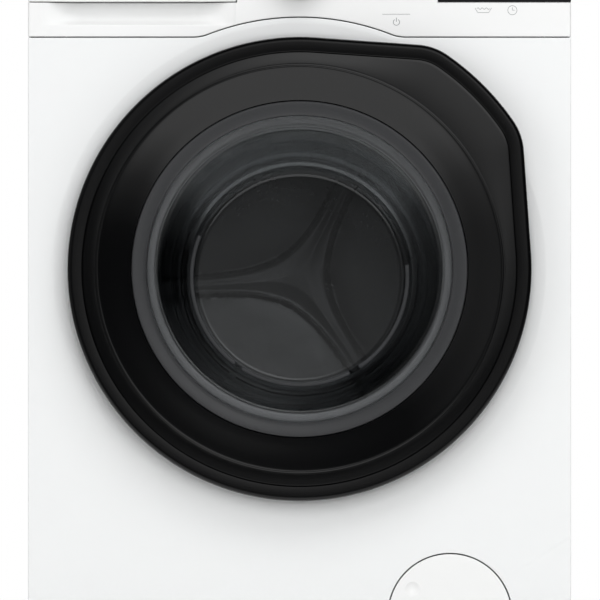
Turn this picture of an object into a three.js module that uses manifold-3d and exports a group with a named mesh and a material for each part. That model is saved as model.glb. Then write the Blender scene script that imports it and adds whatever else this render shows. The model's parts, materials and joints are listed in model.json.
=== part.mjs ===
// Front load washing machine. Millimetres, +Z up, the door faces -Y, and the feet stand on z = 0.
import * as THREE from "three";
import { mergeVertices } from "three/addons/utils/BufferGeometryUtils.js";
import Module from "manifold-3d";

const wasm = await Module();
wasm.setup();

// Cabinet
const WIDTH = 597;
const HALF_W = WIDTH / 2;
const PANEL_Y = -282; // outer face of the front panel
const BACK_Y = 300; // outer face of the rear panel
const FITTING_Y = 320; // end of the water fittings behind the rear panel
const UNDERSIDE_Z = 22;
const WORKTOP_Z = 832;
const TOP_Z = 850;
const SHEET = 2.5;
const GAP = 0.4;
const SIDE_FRONT_Y = -258;

// Seam between the front panel and the fascia: level at the sides, arched over the door
const SEAM_Z = 699;
const SEAM_ARCH_R = 277;
const SEAM_FILLET_R = 44;

// Door
const DOOR_Z = 444;
const DOOR_R = 254.5;
const DOOR_FRONT_Y = -320;
const DOOR_BACK_Y = -284.3;
const WING_R = 285.3;
const WING_FILLET_R = 66;
const WING_TANGENT = THREE.MathUtils.degToRad(4); // the wing is symmetric about 45 degrees
const BEZEL_WIDTH = 16;
const CREASE_R = 221.5; // where the tinted cover turns down into its dish
const WINDOW_R = 184.2;
const GLASS_R = 168;
const BOWL_R = 122;
const BOWL_Y = -170;
const HINGE_X = -243;
const HINGE_Y = -303;

// Recess in the front panel around the door
const RECESS_R = 270.5;
const RECESS_FLOOR_R = 262;
const RECESS_Y = -270;
const OPENING_R = 172.5;

// Pump filter flap
const FLAP_X = 165.4;
const FLAP_Z = 63;
const FLAP_R = 67.5;
const FLAP_CHORD_Z = 31.5;
const FLAP_AXIS_Y = -280.5;
const FLAP_AXIS_Z = 33;

// Drawer and controls
const DRAWER_RIGHT_X = -68.7;
const DRAWER_Z = 737;
const DISPLAY_LEFT_X = 152.3;
const KNOB_Z = 775;
const BUTTON_X = 106.5;

// Tub and drum, on one level axis
const DRUM_Z = 434;
const DRUM_R = 240;
const TUB_R = 255;
const TUB_WALL = 5;
const TUB_FRONT_Y = -200;
const TUB_BACK_Y = 182;
const TUB_JOINT_Y = -20;
const SHAFT_R = 12.5;
const BEARING_R = 26;
const PULLEY_R = 140;
const MOTOR_Z = 112;
const MOTOR_PULLEY_R = 12;
const SPRING_X = 272;
const SPRING_Y = 70;
const DAMPER_X = 150;
const DAMPER_Y = 20;

const FINE = 48; // sides of a large round part
const ROUND = 32;
const TUB_SIDES = 40;
const SMALL = 16;

const machine = new THREE.Group();

function look(color, roughness, metalness = 0) {
  return new THREE.MeshStandardMaterial({ color, roughness, metalness });
}

const white = look(0xeff1f0, 0.35);
const black = look(0x0b0b0c, 0.15);
const tinted = look(0x1c1d1f, 0.12);
const grey = look(0x8a8c8e, 0.4);
const glass = look(0x9aa3a8, 0.05);
const steel = look(0xb9bbbd, 0.3, 1);
const zinc = look(0xa5a8aa, 0.45, 1);
const rubber = look(0x77797b, 0.8);
const resin = look(0xc9cbc8, 0.55);
const darkResin = look(0x3a3c3e, 0.6);
const concrete = look(0x9a9892, 0.9);

// A closed solid from a geometry, with shared corners merged and the faces pointing out.
function toSolid(geometry) {
  const bare = geometry.clone();
  bare.deleteAttribute("normal");
  bare.deleteAttribute("uv");
  const merged = mergeVertices(bare, 1e-4);
  const at = merged.attributes.position.array;
  const corners = merged.index.array;
  const corner = (k) => new THREE.Vector3().fromArray(at, 3 * k);
  const kept = [];
  let volume = 0;
  for (let i = 0; i < corners.length; i += 3) {
    const [a, b, c] = [corners[i], corners[i + 1], corners[i + 2]];
    if (a === b || b === c || c === a) continue;
    kept.push([a, b, c]);
    volume += corner(a).dot(corner(b).cross(corner(c)));
  }
  const outward = volume > 0 ? kept : kept.map(([a, b, c]) => [a, c, b]);
  const triVerts = new Uint32Array(outward.flat());
  return new wasm.Manifold(new wasm.Mesh({ numProp: 3, vertProperties: at, triVerts }));
}

function joined(...solids) {
  return solids.reduce((whole, next) => whole.add(next));
}

function cut(base, ...tools) {
  return tools.reduce((whole, tool) => whole.subtract(tool), base);
}

function block([x0, x1], [y0, y1], [z0, z1]) {
  const geometry = new THREE.BoxGeometry(x1 - x0, y1 - y0, z1 - z0);
  geometry.translate((x0 + x1) / 2, (y0 + y1) / 2, (z0 + z1) / 2);
  return toSolid(geometry);
}

// A round bar along Y at (x, z).
function rodY(radius, [y0, y1], x, z, sides = SMALL) {
  const geometry = new THREE.CylinderGeometry(radius, radius, y1 - y0, sides);
  geometry.translate(x, (y0 + y1) / 2, z);
  return toSolid(geometry);
}

// A round bar along Z at (x, y).
function rodZ(radius, [z0, z1], x, y, sides = SMALL) {
  const geometry = new THREE.CylinderGeometry(radius, radius, z1 - z0, sides);
  geometry.rotateX(Math.PI / 2);
  geometry.translate(x, y, (z0 + z1) / 2);
  return toSolid(geometry);
}

// A round bar along X at (y, z).
function rodX(radius, [x0, x1], y, z, sides = SMALL) {
  const geometry = new THREE.CylinderGeometry(radius, radius, x1 - x0, sides);
  geometry.rotateZ(Math.PI / 2);
  geometry.translate((x0 + x1) / 2, y, z);
  return toSolid(geometry);
}

// A profile of [radius, y] points turned about a level axis that runs along Y at (x, z).
function turned(profile, sides, x = 0, z = DRUM_Z) {
  const points = profile.map(([radius, y]) => new THREE.Vector2(radius, y));
  if (profile[0][0] > 0) points.push(points[0].clone());
  const geometry = new THREE.LatheGeometry(points, sides);
  geometry.translate(x, 0, z);
  return toSolid(geometry);
}

// A flat plate: an outline in X and Z, with holes, between two levels of Y.
function plate(outline, [y0, y1], holes = []) {
  const shape = new THREE.Shape(outline);
  shape.holes = holes.map((points) => new THREE.Path(points));
  const geometry = new THREE.ExtrudeGeometry(shape, { depth: y1 - y0, bevelEnabled: false });
  geometry.rotateX(Math.PI / 2);
  geometry.translate(0, y1, 0);
  return toSolid(geometry);
}

// Points along an arc about (x, z), both ends included.
function arc(x, z, radius, start, end, steps) {
  return Array.from({ length: steps + 1 }, (_, i) => {
    const angle = start + ((end - start) * i) / steps;
    return new THREE.Vector2(x + radius * Math.cos(angle), z + radius * Math.sin(angle));
  });
}

function circle(x, z, radius, sides = FINE) {
  return arc(x, z, radius, 0, 2 * Math.PI, sides).slice(0, sides);
}

function piece(name, form, material) {
  const mesh = form.getMesh();
  const geometry = new THREE.BufferGeometry();
  geometry.setAttribute("position", new THREE.BufferAttribute(mesh.vertProperties, 3));
  geometry.setIndex(new THREE.BufferAttribute(mesh.triVerts, 1));
  const part = new THREE.Mesh(geometry, material);
  part.name = name;
  machine.add(part);
}

// The seam line from left to right, moved down by `drop`.
function seam(drop) {
  const filletZ = SEAM_Z + SEAM_FILLET_R;
  const rise = filletZ - DOOR_Z;
  const filletX = Math.sqrt((SEAM_ARCH_R + SEAM_FILLET_R) ** 2 - rise ** 2);
  const lean = Math.atan2(rise, filletX);
  const fillet = SEAM_FILLET_R + drop;
  const level = -Math.PI / 2;
  return [
    new THREE.Vector2(-HALF_W, SEAM_Z - drop),
    ...arc(-filletX, filletZ, fillet, level, -lean, 4),
    ...arc(0, DOOR_Z, SEAM_ARCH_R - drop, Math.PI - lean, lean, 14),
    ...arc(filletX, filletZ, fillet, lean - Math.PI, level, 4),
    new THREE.Vector2(HALF_W, SEAM_Z - drop),
  ];
}

// The door's outline, moved in by `inset`: a circle with a wing towards the upper right. Two lines leave the
// circle at its tangents, and meet an arc about the same centre through two fillets.
function doorOutline(inset) {
  const fillet = WING_FILLET_R - inset;
  const reach = WING_R - WING_FILLET_R;
  const turn = Math.acos((DOOR_R - WING_FILLET_R) / reach);
  const low = WING_TANGENT + turn;
  const high = Math.PI / 2 - low;
  const upper = Math.PI / 2 - WING_TANGENT;
  const centre = (angle) => [reach * Math.cos(angle), DOOR_Z + reach * Math.sin(angle)];
  return [
    ...arc(0, DOOR_Z, DOOR_R - inset, upper, 2 * Math.PI + WING_TANGENT, 38),
    ...arc(...centre(low), fillet, WING_TANGENT, low, 5),
    ...arc(0, DOOR_Z, WING_R - inset, low, high, 4).slice(1, 4),
    ...arc(...centre(high), fillet, high, upper, 5),
  ];
}

// The flap's outline, grown by `grow`: a disc cut straight along its foot.
function flapOutline(grow) {
  const radius = FLAP_R + grow;
  const dip = Math.asin((FLAP_CHORD_Z - grow - FLAP_Z) / radius);
  return arc(FLAP_X, FLAP_Z, radius, dip, Math.PI - dip, 26);
}

function makeFrontPanel() {
  const back = PANEL_Y + SHEET;
  const edge = [new THREE.Vector2(HALF_W, UNDERSIDE_Z), new THREE.Vector2(-HALF_W, UNDERSIDE_Z)];
  const outline = [...seam(0.6), ...edge];
  const holes = [circle(0, DOOR_Z, RECESS_R), flapOutline(1.4)];
  const sheet = plate(outline, [PANEL_Y, back], holes);
  const lip = RECESS_Y + 16;
  const dish = turned([
    [RECESS_R, PANEL_Y], [RECESS_R + 4.5, PANEL_Y], [RECESS_R + 4.5, back], [RECESS_R + 1.3, back],
    [RECESS_FLOOR_R + 1.4, RECESS_Y + SHEET], [OPENING_R, RECESS_Y + SHEET], [OPENING_R, lip],
    [OPENING_R - SHEET, lip], [OPENING_R - SHEET, RECESS_Y], [RECESS_FLOOR_R, RECESS_Y],
  ], FINE, 0, DOOR_Z);
  const flangeZ = [UNDERSIDE_Z, SEAM_Z - 1];
  const flangeY = [PANEL_Y, SIDE_FRONT_Y - 0.6];
  const left = block([-HALF_W, -HALF_W + SHEET], flangeY, flangeZ);
  const right = block([HALF_W - SHEET, HALF_W], flangeY, flangeZ);
  const foot = block([-HALF_W, HALF_W], flangeY, [UNDERSIDE_Z, UNDERSIDE_Z + SHEET]);
  const hookSlot = block([196, 216], [RECESS_Y - 5, RECESS_Y + 5], [DOOR_Z - 12, DOOR_Z + 12]);
  const pinSlots = rodX(1.6, [FLAP_X - 66, FLAP_X + 66], FLAP_AXIS_Y, FLAP_AXIS_Z, 12);
  piece("front_panel", cut(joined(sheet, dish, left, right, foot), hookSlot, pinSlots), white);
}

function makeFascia() {
  const back = PANEL_Y + SHEET;
  const top = WORKTOP_Z - 1.5;
  const displayEdge = DISPLAY_LEFT_X - 0.5;
  const upper = [
    [HALF_W, DRAWER_Z], [displayEdge, DRAWER_Z], [displayEdge, top], [DRAWER_RIGHT_X, top],
    [DRAWER_RIGHT_X, DRAWER_Z], [-HALF_W, DRAWER_Z],
  ].map(([x, z]) => new THREE.Vector2(x, z));
  const face = plate([...seam(-0.6), ...upper], [PANEL_Y, back]);
  const shelf = block([DISPLAY_LEFT_X - 6, HALF_W], [PANEL_Y + 6, PANEL_Y + 8.5], [DRAWER_Z - 8, top]);
  const shelfEdge = block([DISPLAY_LEFT_X - 6, displayEdge], [PANEL_Y, PANEL_Y + 8.5], [DRAWER_Z - 8, top]);
  const shelfFoot = block([DISPLAY_LEFT_X - 6, HALF_W], [PANEL_Y, PANEL_Y + 8.5], [DRAWER_Z - 8, DRAWER_Z]);
  const flangeY = [PANEL_Y, SIDE_FRONT_Y - 0.6];
  const right = block([HALF_W - SHEET, HALF_W], flangeY, [SEAM_Z + 1, DRAWER_Z]);
  const rightUpper = block([HALF_W - SHEET, HALF_W], [PANEL_Y + 6, flangeY[1]], [DRAWER_Z - 1, top]);
  const left = block([-HALF_W, -HALF_W + SHEET], flangeY, [SEAM_Z + 1, DRAWER_Z]);
  const archRoom = rodY(SEAM_ARCH_R + 1.2, [PANEL_Y - 5, PANEL_Y + 40], 0, DOOR_Z, FINE);
  const gripBack = cut(block([-284, -73], [back - 0.5, PANEL_Y + 25], [SEAM_Z + 8, DRAWER_Z]), archRoom);
  const grip = rodX(28.6, [-277, -79], PANEL_Y - 6, DRAWER_Z + 4, 40);
  const shaftHole = rodY(5, [PANEL_Y - 2, back + 2], 0, KNOB_Z);
  const buttonHole = (z) => block([BUTTON_X - 17, BUTTON_X + 17], [PANEL_Y - 2, back + 2], [z - 8, z + 8]);
  const body = joined(face, shelf, shelfEdge, shelfFoot, right, rightUpper, left, gripBack);
  piece("fascia", cut(body, grip, shaftHole, buttonHole(752), buttonHole(790)), white);
}

function makeSidePanel(name, side) {
  const outer = side * HALF_W;
  const inner = side * (HALF_W - SHEET);
  const span = (a, b) => [Math.min(a, b), Math.max(a, b)];
  const sheet = block(span(outer, inner), [SIDE_FRONT_Y, BACK_Y - SHEET - 0.3], [UNDERSIDE_Z, WORKTOP_Z - 0.5]);
  const bracketX = span(outer - side, side * (SPRING_X - 10));
  const bracket = block(bracketX, [SPRING_Y - 15, SPRING_Y + 15], [740.4, 760]);
  piece(name, joined(sheet, bracket), white);
}

function makeRear() {
  const width = [-HALF_W, HALF_W];
  const sheet = block(width, [BACK_Y - SHEET, BACK_Y], [UNDERSIDE_Z, WORKTOP_Z - 0.5]);
  const service = block([-170, 170], [BACK_Y - 10, BACK_Y + 10], [250, 600]);
  const wide = [BACK_Y - 10, BACK_Y + 10];
  const holes = [rodY(15, wide, -180, 782), rodY(18, wide, 230, 130), rodY(11, wide, 230, 782)];
  piece("rear_panel", cut(sheet, service, ...holes), zinc);
  const rib = (x) => block([x - 12, x + 12], [BACK_Y + 2, BACK_Y + 6], [270, 580]);
  const cover = block([-185, 185], [BACK_Y + 0.3, BACK_Y + 3], [235, 615]);
  piece("rear_access_cover", joined(cover, rib(-90), rib(0), rib(90)), zinc);
}

function makeBase() {
  const inside = HALF_W - SHEET - 0.5;
  const pan = block([-inside, inside], [SIDE_FRONT_Y + 1, BACK_Y - SHEET - 1], [25, 65]);
  const well = block([-inside + 3, inside - 3], [SIDE_FRONT_Y + 4, BACK_Y - SHEET - 4], [28, 80]);
  const stems = footPlaces().map(([x, y]) => rodZ(6.5, [10, 40], x, y));
  const pumpRoom = block([FLAP_X - 42, FLAP_X + 42], [-262, -250], [38, 70]);
  piece("base_tray", cut(pan, well, pumpRoom, ...stems), resin);
}

function footPlaces() {
  return [[-255, -215], [255, -215], [-255, 250], [255, 250]];
}

function makeFeet() {
  const names = ["foot_front_left", "foot_front_right", "foot_rear_left", "foot_rear_right"];
  footPlaces().forEach(([x, y], i) => {
    const pad = rodZ(21, [0, 12], x, y, 32);
    const nut = rodZ(11, [12, 20], x, y, 6);
    const stem = rodZ(5.5, [19, 56], x, y);
    piece(names[i], joined(pad, nut, stem), darkResin);
  });
}

function makeTop() {
  const trimBack = PANEL_Y + 20;
  const slab = block([-HALF_W, HALF_W], [trimBack + GAP, BACK_Y], [WORKTOP_Z, TOP_Z]);
  piece("worktop", slab, white);
  const trim = block([-HALF_W, HALF_W], [PANEL_Y, trimBack], [WORKTOP_Z, TOP_Z]);
  piece("worktop_trim", trim, white);
}

function makeControls() {
  const display = block([DISPLAY_LEFT_X, HALF_W], [PANEL_Y, PANEL_Y + 5.6], [DRAWER_Z + 0.6, WORKTOP_Z - 1.5]);
  piece("display_window", display, black);
  piece("control_board", block([30, 285], [-256, -225], [742, 808]), darkResin);
  const skirt = rodY(35, [PANEL_Y - 5, PANEL_Y - 0.5], 0, KNOB_Z, ROUND);
  const grip = rodY(31, [PANEL_Y - 22, PANEL_Y - 4], 0, KNOB_Z, ROUND);
  const shaft = rodY(4, [PANEL_Y - 1, PANEL_Y + 20], 0, KNOB_Z);
  piece("program_knob", joined(skirt, grip, shaft), steel);
  makeButton("power_button", 752);
  makeButton("start_button", 790);
}

function makeButton(name, z) {
  const cap = block([BUTTON_X - 16.4, BUTTON_X + 16.4], [PANEL_Y - 2.5, PANEL_Y + 7], [z - 7.4, z + 7.4]);
  const collar = block([BUTTON_X - 19, BUTTON_X + 19], [PANEL_Y + 5, PANEL_Y + 7], [z - 10, z + 10]);
  const plunger = rodY(3, [PANEL_Y + 6, PANEL_Y + 22], BUTTON_X, z, 12);
  piece(name, joined(cap, collar, plunger), steel);
}

function makeDrawer() {
  const shellX = [-289, -78];
  const box = block(shellX, [-259, 30], [741, 814]);
  const room = block([shellX[0] + 3, shellX[1] - 3], [-262, 27], [744, 811]);
  piece("drawer_housing", cut(box, room), resin);
  const frontX = [-HALF_W, DRAWER_RIGHT_X - 1];
  const frontZ = [DRAWER_Z + 1, WORKTOP_Z - 1.5];
  const front = block(frontX, [PANEL_Y, -260], frontZ);
  const hollow = block([frontX[0] + 3, frontX[1] - 3], [PANEL_Y + 3, -259], [frontZ[0] + 3, frontZ[1] - 3]);
  piece("drawer_front", cut(front, hollow), white);
  const tray = block([-283, -84], [-275, 12], [747, 799]);
  const bay = (x0, x1) => block([x0, x1], [-256, 10], [750, 805]);
  const nose = block([-300, -60], [-276, -256.2], [790, 805]);
  piece("drawer_tray", cut(tray, bay(-281, -216), bay(-214, -152), bay(-150, -86), nose), resin);
}

function makeWater() {
  const valve = block([-205, -155], [235, 285], [757, 807]);
  const thread = rodY(12.5, [280, FITTING_Y], -180, 782);
  piece("inlet_valve", joined(valve, thread), resin);
  const outlet = rodY(15.5, [262, FITTING_Y], 230, 130);
  const bore = rodY(11, [270, FITTING_Y + 2], 230, 130);
  piece("drain_outlet", cut(outlet, bore), darkResin);
  const gland = rodY(10, [285, BACK_Y + 8], 230, 782);
  const collar = rodY(14, [BACK_Y + 0.4, BACK_Y + 5], 230, 782);
  piece("cord_gland", joined(gland, collar), darkResin);
  const tube = rodY(38, [-262, -158], FLAP_X, 80, 32);
  const tubeBore = rodY(33, [-264, -164], FLAP_X, 80, 32);
  const body = block([FLAP_X - 30, FLAP_X + 30], [-159, -110], [50, 110]);
  const leg = block([FLAP_X - 25, FLAP_X + 25], [-240, -120], [28.4, 60]);
  piece("pump_housing", cut(joined(tube, body, leg), tubeBore), resin);
  const cap = rodY(31, [-264, -254], FLAP_X, 80, 32);
  const bar = block([FLAP_X - 26, FLAP_X + 26], [-273, -263], [76, 84]);
  const strainer = rodY(24, [-255, -176], FLAP_X, 80);
  piece("drain_filter", joined(cap, bar, strainer), darkResin);
  const flap = plate(flapOutline(0), [PANEL_Y, PANEL_Y + 3]);
  const dimple = rodY(7.9, [PANEL_Y - 2, PANEL_Y + 1.6], 124, 92.4);
  const pins = rodX(1.1, [FLAP_X - 64.5, FLAP_X + 64.5], FLAP_AXIS_Y, FLAP_AXIS_Z, 12);
  piece("filter_flap", cut(joined(flap, pins), dimple), white);
}

function makeDampers() {
  for (const [side, x] of [["left", -DAMPER_X], ["right", DAMPER_X]]) {
    const tube = rodZ(16, [28.4, 130], x, DAMPER_Y);
    const bore = rodZ(13, [36, 140], x, DAMPER_Y);
    piece(`damper_cylinder_${side}`, cut(tube, bore), darkResin);
    piece(`damper_rod_${side}`, rodZ(10, [60, 219], x, DAMPER_Y), steel);
  }
}

// Two L-shaped lugs come out of the recess inboard of the pin and reach left to it, so the bezel can swing
// round them with a notch only at its back.
function makeHinge() {
  const levels = [-30, 20].map((low) => [DOOR_Z + low, DOOR_Z + low + 10]);
  const base = block([-222, -196], [RECESS_Y - 2.4, RECESS_Y - 0.3], [DOOR_Z - 46, DOOR_Z + 46]);
  const lug = (z) => {
    const arm = block([HINGE_X, -208], [HINGE_Y - 4.5, HINGE_Y + 4.5], z);
    const stand = block([-217, -208], [HINGE_Y - 4.5, RECESS_Y - 0.3], z);
    const eye = rodZ(6, z, HINGE_X, HINGE_Y);
    return joined(arm, stand, eye);
  };
  const bore = rodZ(3.4, [DOOR_Z - 50, DOOR_Z + 50], HINGE_X, HINGE_Y);
  piece("hinge_bracket", cut(joined(base, ...levels.map(lug)), bore), zinc);
  const barrel = rodZ(6, [DOOR_Z - 19, DOOR_Z + 19], HINGE_X, HINGE_Y);
  const pin = rodZ(2.9, [DOOR_Z - 33, DOOR_Z + 33], HINGE_X, HINGE_Y);
  const web = block([HINGE_X, -204], [HINGE_Y - 4, HINGE_Y + 4], [DOOR_Z - 17, DOOR_Z + 17]);
  const post = block([-214, -204], [HINGE_Y - 4, -285], [DOOR_Z - 17, DOOR_Z + 17]);
  const pad = block([-214, -180], [-289, -285], [DOOR_Z - 17, DOOR_Z + 17]);
  piece("door_hinge_arm", joined(barrel, pin, web, post, pad), zinc);
}

function hingeNotch() {
  const notch = ([z0, z1]) => block([-262, -200], [HINGE_Y - 8, -260], [DOOR_Z + z0, DOOR_Z + z1]);
  const middle = plate(doorOutline(4), [HINGE_Y - 9, -260]);
  const room = block([-262, -200], [HINGE_Y - 9, -260], [DOOR_Z - 36, DOOR_Z + 36]);
  return joined(notch([-33, -17]), notch([17, 33]), middle.intersect(room));
}

function makeDoor() {
  const notch = hingeNotch();
  const rim = plate(doorOutline(0), [DOOR_FRONT_Y, DOOR_BACK_Y], [doorOutline(BEZEL_WIDTH)]);
  const ledge = plate(doorOutline(BEZEL_WIDTH - 1), [-313.6, -305], [doorOutline(BEZEL_WIDTH + 10)]);
  const wing = cut(plate(doorOutline(-5), [-303, -280]), turned([[0, -310], [254, -310], [254, -270], [0, -270]],
    FINE, 0, DOOR_Z));
  piece("door_bezel", cut(joined(rim, ledge), wing, notch), black);
  const skin = plate(doorOutline(BEZEL_WIDTH + 0.5), [-317.5, -314.5], [circle(0, DOOR_Z, CREASE_R - 1)]);
  const dish = turned([
    [CREASE_R, -317.5], [CREASE_R, -314.5], [WINDOW_R + 1, -302], [WINDOW_R + 1, -305.5],
  ], FINE, 0, DOOR_Z);
  piece("door_cover", joined(skin, dish), tinted);
  const ring = turned([
    [WINDOW_R, -306], [WINDOW_R, -298], [GLASS_R + 0.6, -298], [GLASS_R + 0.6, -303], [171.5, -304.5],
  ], FINE, 0, DOOR_Z);
  piece("door_window_ring", ring, grey);
  piece("door_glass", makeBowl(), glass);
  const frame = turned([
    [170.6, -297.7], [173.6, -297.7], [173.6, -276], [233, -276], [233, -297.7], [236, -297.7], [236, -284],
    [240, -284], [240, -272.6], [170.6, -272.6],
  ], FINE, 0, DOOR_Z);
  const armSeat = block([-245, -179], [-290, -260], [DOOR_Z - 40, DOOR_Z + 40]);
  const hookSeat = block([195, 217], [-284, -260], [DOOR_Z - 8, DOOR_Z + 8]);
  const lugRoom = block([-245, -195], [-300, -260], [DOOR_Z - 50, DOOR_Z + 50]);
  piece("door_inner_frame", cut(frame, armSeat, hookSeat, lugRoom), grey);
  const shank = block([203, 208], [-283, -247], [DOOR_Z - 7, DOOR_Z + 7]);
  const barb = block([199, 205], [-253, -247], [DOOR_Z - 7, DOOR_Z + 7]);
  const root = rodZ(3.5, [DOOR_Z - 7, DOOR_Z + 7], 205.5, -279.8);
  piece("door_hook", joined(shank, barb, root), steel);
  const lockBody = block([188, 250], [-267.1, -234], [DOOR_Z - 30, DOOR_Z + 30]);
  const lockRoom = block([193, 219], [-270, -241], [DOOR_Z - 13, DOOR_Z + 13]);
  piece("door_lock", cut(lockBody, lockRoom), darkResin);
}

// The bowl is a hollow cone whose back rim sits 10 mm lower than its front flange.
function makeBowl() {
  const drop = 10;
  const cone = (r0, r1, y0, y1) => {
    const geometry = new THREE.CylinderGeometry(r1, r0, y1 - y0, FINE);
    const shear = new THREE.Matrix4().set(1, 0, 0, 0, 0, 1, 0, 0, 0, -drop / (y1 - y0), 1, 0, 0, 0, 0, 1);
    geometry.applyMatrix4(shear);
    geometry.translate(0, (y0 + y1) / 2, DOOR_Z - drop / 2);
    return toSolid(geometry);
  };
  const flange = turned([[0, -297], [GLASS_R, -297], [GLASS_R, -293], [0, -293]], FINE, 0, DOOR_Z);
  const outer = cone(157, BOWL_R, -294, BOWL_Y);
  const inner = cone(153, BOWL_R - 5, -297.5, BOWL_Y - 5);
  return cut(joined(flange, outer), inner);
}

// The gasket's front bead is level with the door and its back with the drum, so its bellows steps down between.
function makeGasket() {
  const profile = [
    [159, -275], [161, -278], [167, -278], [169.2, -275], [169.2, -251], [177, -250], [179, -243], [171, -236],
    [170, -222], [170, -203], [164.7, -203], [164.7, -219], [163, -238], [170, -243], [168, -246], [161, -250],
    [159, -256], [159, -275],
  ];
  const geometry = new THREE.LatheGeometry(profile.map(([r, y]) => new THREE.Vector2(r, y)), TUB_SIDES);
  const at = geometry.attributes.position;
  for (let i = 0; i < at.count; i += 1) {
    const step = THREE.MathUtils.clamp((at.getY(i) + 250) / 28, 0, 1);
    at.setZ(i, at.getZ(i) + THREE.MathUtils.lerp(DOOR_Z, DRUM_Z, step));
  }
  piece("door_gasket", toSolid(geometry), rubber);
}

function makeTub() {
  const neck = TUB_FRONT_Y - 16;
  const split = TUB_JOINT_Y;
  const inner = TUB_R - TUB_WALL;
  const front = turned([
    [158, neck], [164, neck], [164, TUB_FRONT_Y], [TUB_R, TUB_FRONT_Y], [TUB_R, split - 7], [TUB_R + 7, split - 7],
    [TUB_R + 7, split - 0.3], [inner, split - 0.3], [inner, TUB_FRONT_Y + TUB_WALL], [158, TUB_FRONT_Y + TUB_WALL],
  ], TUB_SIDES);
  const heaterZ = DRUM_Z - 244.3;
  const heaterHoles = [-22, 22].map((x) => rodY(4.2, [TUB_FRONT_Y - 5, TUB_FRONT_Y + 10], x, heaterZ, 12));
  piece("tub_front", cut(front, ...heaterHoles), resin);
  const shell = turned([
    [inner, split], [TUB_R + 7, split], [TUB_R + 7, split + 7], [TUB_R, split + 7], [TUB_R, TUB_BACK_Y],
    [62, TUB_BACK_Y], [62, 214], [BEARING_R + 0.4, 214], [BEARING_R + 0.4, 170], [60, 170], [60, 177],
    [inner, 177],
  ], TUB_SIDES);
  const lug = (side) => {
    const ends = [side * 222, side * 284];
    return block([Math.min(...ends), Math.max(...ends)], [SPRING_Y - 15, SPRING_Y + 15], [552, 565]);
  };
  piece("tub_rear", joined(shell, lug(-1), lug(1)), resin);
  const rods = [-22, 22].map((x) => rodY(3.1, [-206, 120], x, heaterZ, 12));
  const bend = rodX(3.1, [-22, 22], 117, heaterZ, 12);
  const flange = block([-36, 36], [-207, TUB_FRONT_Y - 0.4], [183, 199]);
  piece("heater", joined(...rods, bend, flange), steel);
  const ring = turned([[184, -224], [248, -224], [248, -200.6], [184, -200.6]], ROUND);
  const heaterRoom = block([-48, 48], [-230, -195], [160, 214]);
  piece("front_counterweight", cut(ring, heaterRoom), concrete);
  const saddle = block([-112, 112], [-120, 100], [640, 722]);
  const round = rodY(TUB_R + 8, [-130, 110], 0, DRUM_Z, TUB_SIDES);
  piece("top_counterweight", cut(saddle, round), concrete);
  piece("bearing_front", turned([[13, 178], [BEARING_R, 178], [BEARING_R, 192], [13, 192]], SMALL), steel);
  piece("bearing_rear", turned([[13, 198], [BEARING_R, 198], [BEARING_R, 212], [13, 212]], SMALL), steel);
}

function makeDrum() {
  const wall = DRUM_R - 2;
  piece("drum_shell", turned([
    [wall, 157.3], [0, 157.3], [0, 160], [DRUM_R, 160], [DRUM_R, -184], [wall, -184],
  ], TUB_SIDES), steel);
  piece("drum_front_ring", turned([
    [152, -181], [154, -188], [DRUM_R, -188], [DRUM_R, -184.3], [158, -184.3],
  ], TUB_SIDES), steel);
  const hub = rodY(38, [160.3, 169.3], 0, DRUM_Z);
  const shaft = rodY(SHAFT_R, [168, 248], 0, DRUM_Z);
  const arms = [0, 1, 2].map((i) => {
    const geometry = new THREE.BoxGeometry(40, 8, 205);
    geometry.translate(0, 164.3, 128);
    geometry.rotateY((i * 2 * Math.PI) / 3);
    geometry.translate(0, 0, DRUM_Z);
    return toSolid(geometry);
  });
  piece("drum_spider", joined(hub, shaft, ...arms), zinc);
  const rim = turned([
    [SHAFT_R + 0.5, 226], [24, 226], [24, 234], [PULLEY_R - 8, 234], [PULLEY_R - 8, 228], [PULLEY_R, 228],
    [PULLEY_R, 242], [PULLEY_R - 8, 242], [PULLEY_R - 8, 238], [SHAFT_R + 0.5, 238],
  ], ROUND);
  piece("drum_pulley", rim, zinc);
  const base = DRUM_R - 5;
  const section = [[-30, -base], [30, -base], [16, -base + 36], [8, -base + 42], [-8, -base + 42], [-16, -base + 36]];
  [1, 2, 3].forEach((number) => {
    const shape = new THREE.Shape(section.map(([x, z]) => new THREE.Vector2(x, z)));
    const geometry = new THREE.ExtrudeGeometry(shape, { depth: 270, bevelEnabled: false });
    geometry.rotateX(Math.PI / 2);
    geometry.translate(0, 125, 0);
    geometry.rotateY(((number - 1) * 2 * Math.PI) / 3 + 0.35);
    geometry.translate(0, 0, DRUM_Z);
    piece(`drum_paddle_${number}`, toSolid(geometry), resin);
  });
}

// The belt's outline grown by `grow`: an open loop round the two pulleys, straight between their tangents.
function beltOutline(grow) {
  const large = PULLEY_R + grow;
  const small = MOTOR_PULLEY_R + grow;
  const lean = Math.asin((large - small) / (DRUM_Z - MOTOR_Z));
  return [
    ...arc(0, DRUM_Z, large, -lean, Math.PI + lean, 36),
    ...arc(0, MOTOR_Z, small, Math.PI + lean, 2 * Math.PI - lean, 8),
  ];
}

function makeDrive() {
  piece("drive_belt", plate(beltOutline(2.6), [229, 241], [beltOutline(0.6)]), darkResin);
  const can = rodY(50, [62, 200], 0, MOTOR_Z, 32);
  const lug = (y) => block([-18, 18], [y, y + 14], [150, 178]);
  piece("motor_body", joined(can, lug(80), lug(160)), zinc);
  const wheel = rodY(MOTOR_PULLEY_R, [227, 243], 0, MOTOR_Z);
  const shaft = rodY(6, [200.4, 228], 0, MOTOR_Z);
  piece("motor_pulley", joined(wheel, shaft), steel);
  piece("suspension_spring_left", rodZ(8, [565.4, 740], -SPRING_X, SPRING_Y, 12), steel);
  piece("suspension_spring_right", rodZ(8, [565.4, 740], SPRING_X, SPRING_Y, 12), steel);
}

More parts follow.
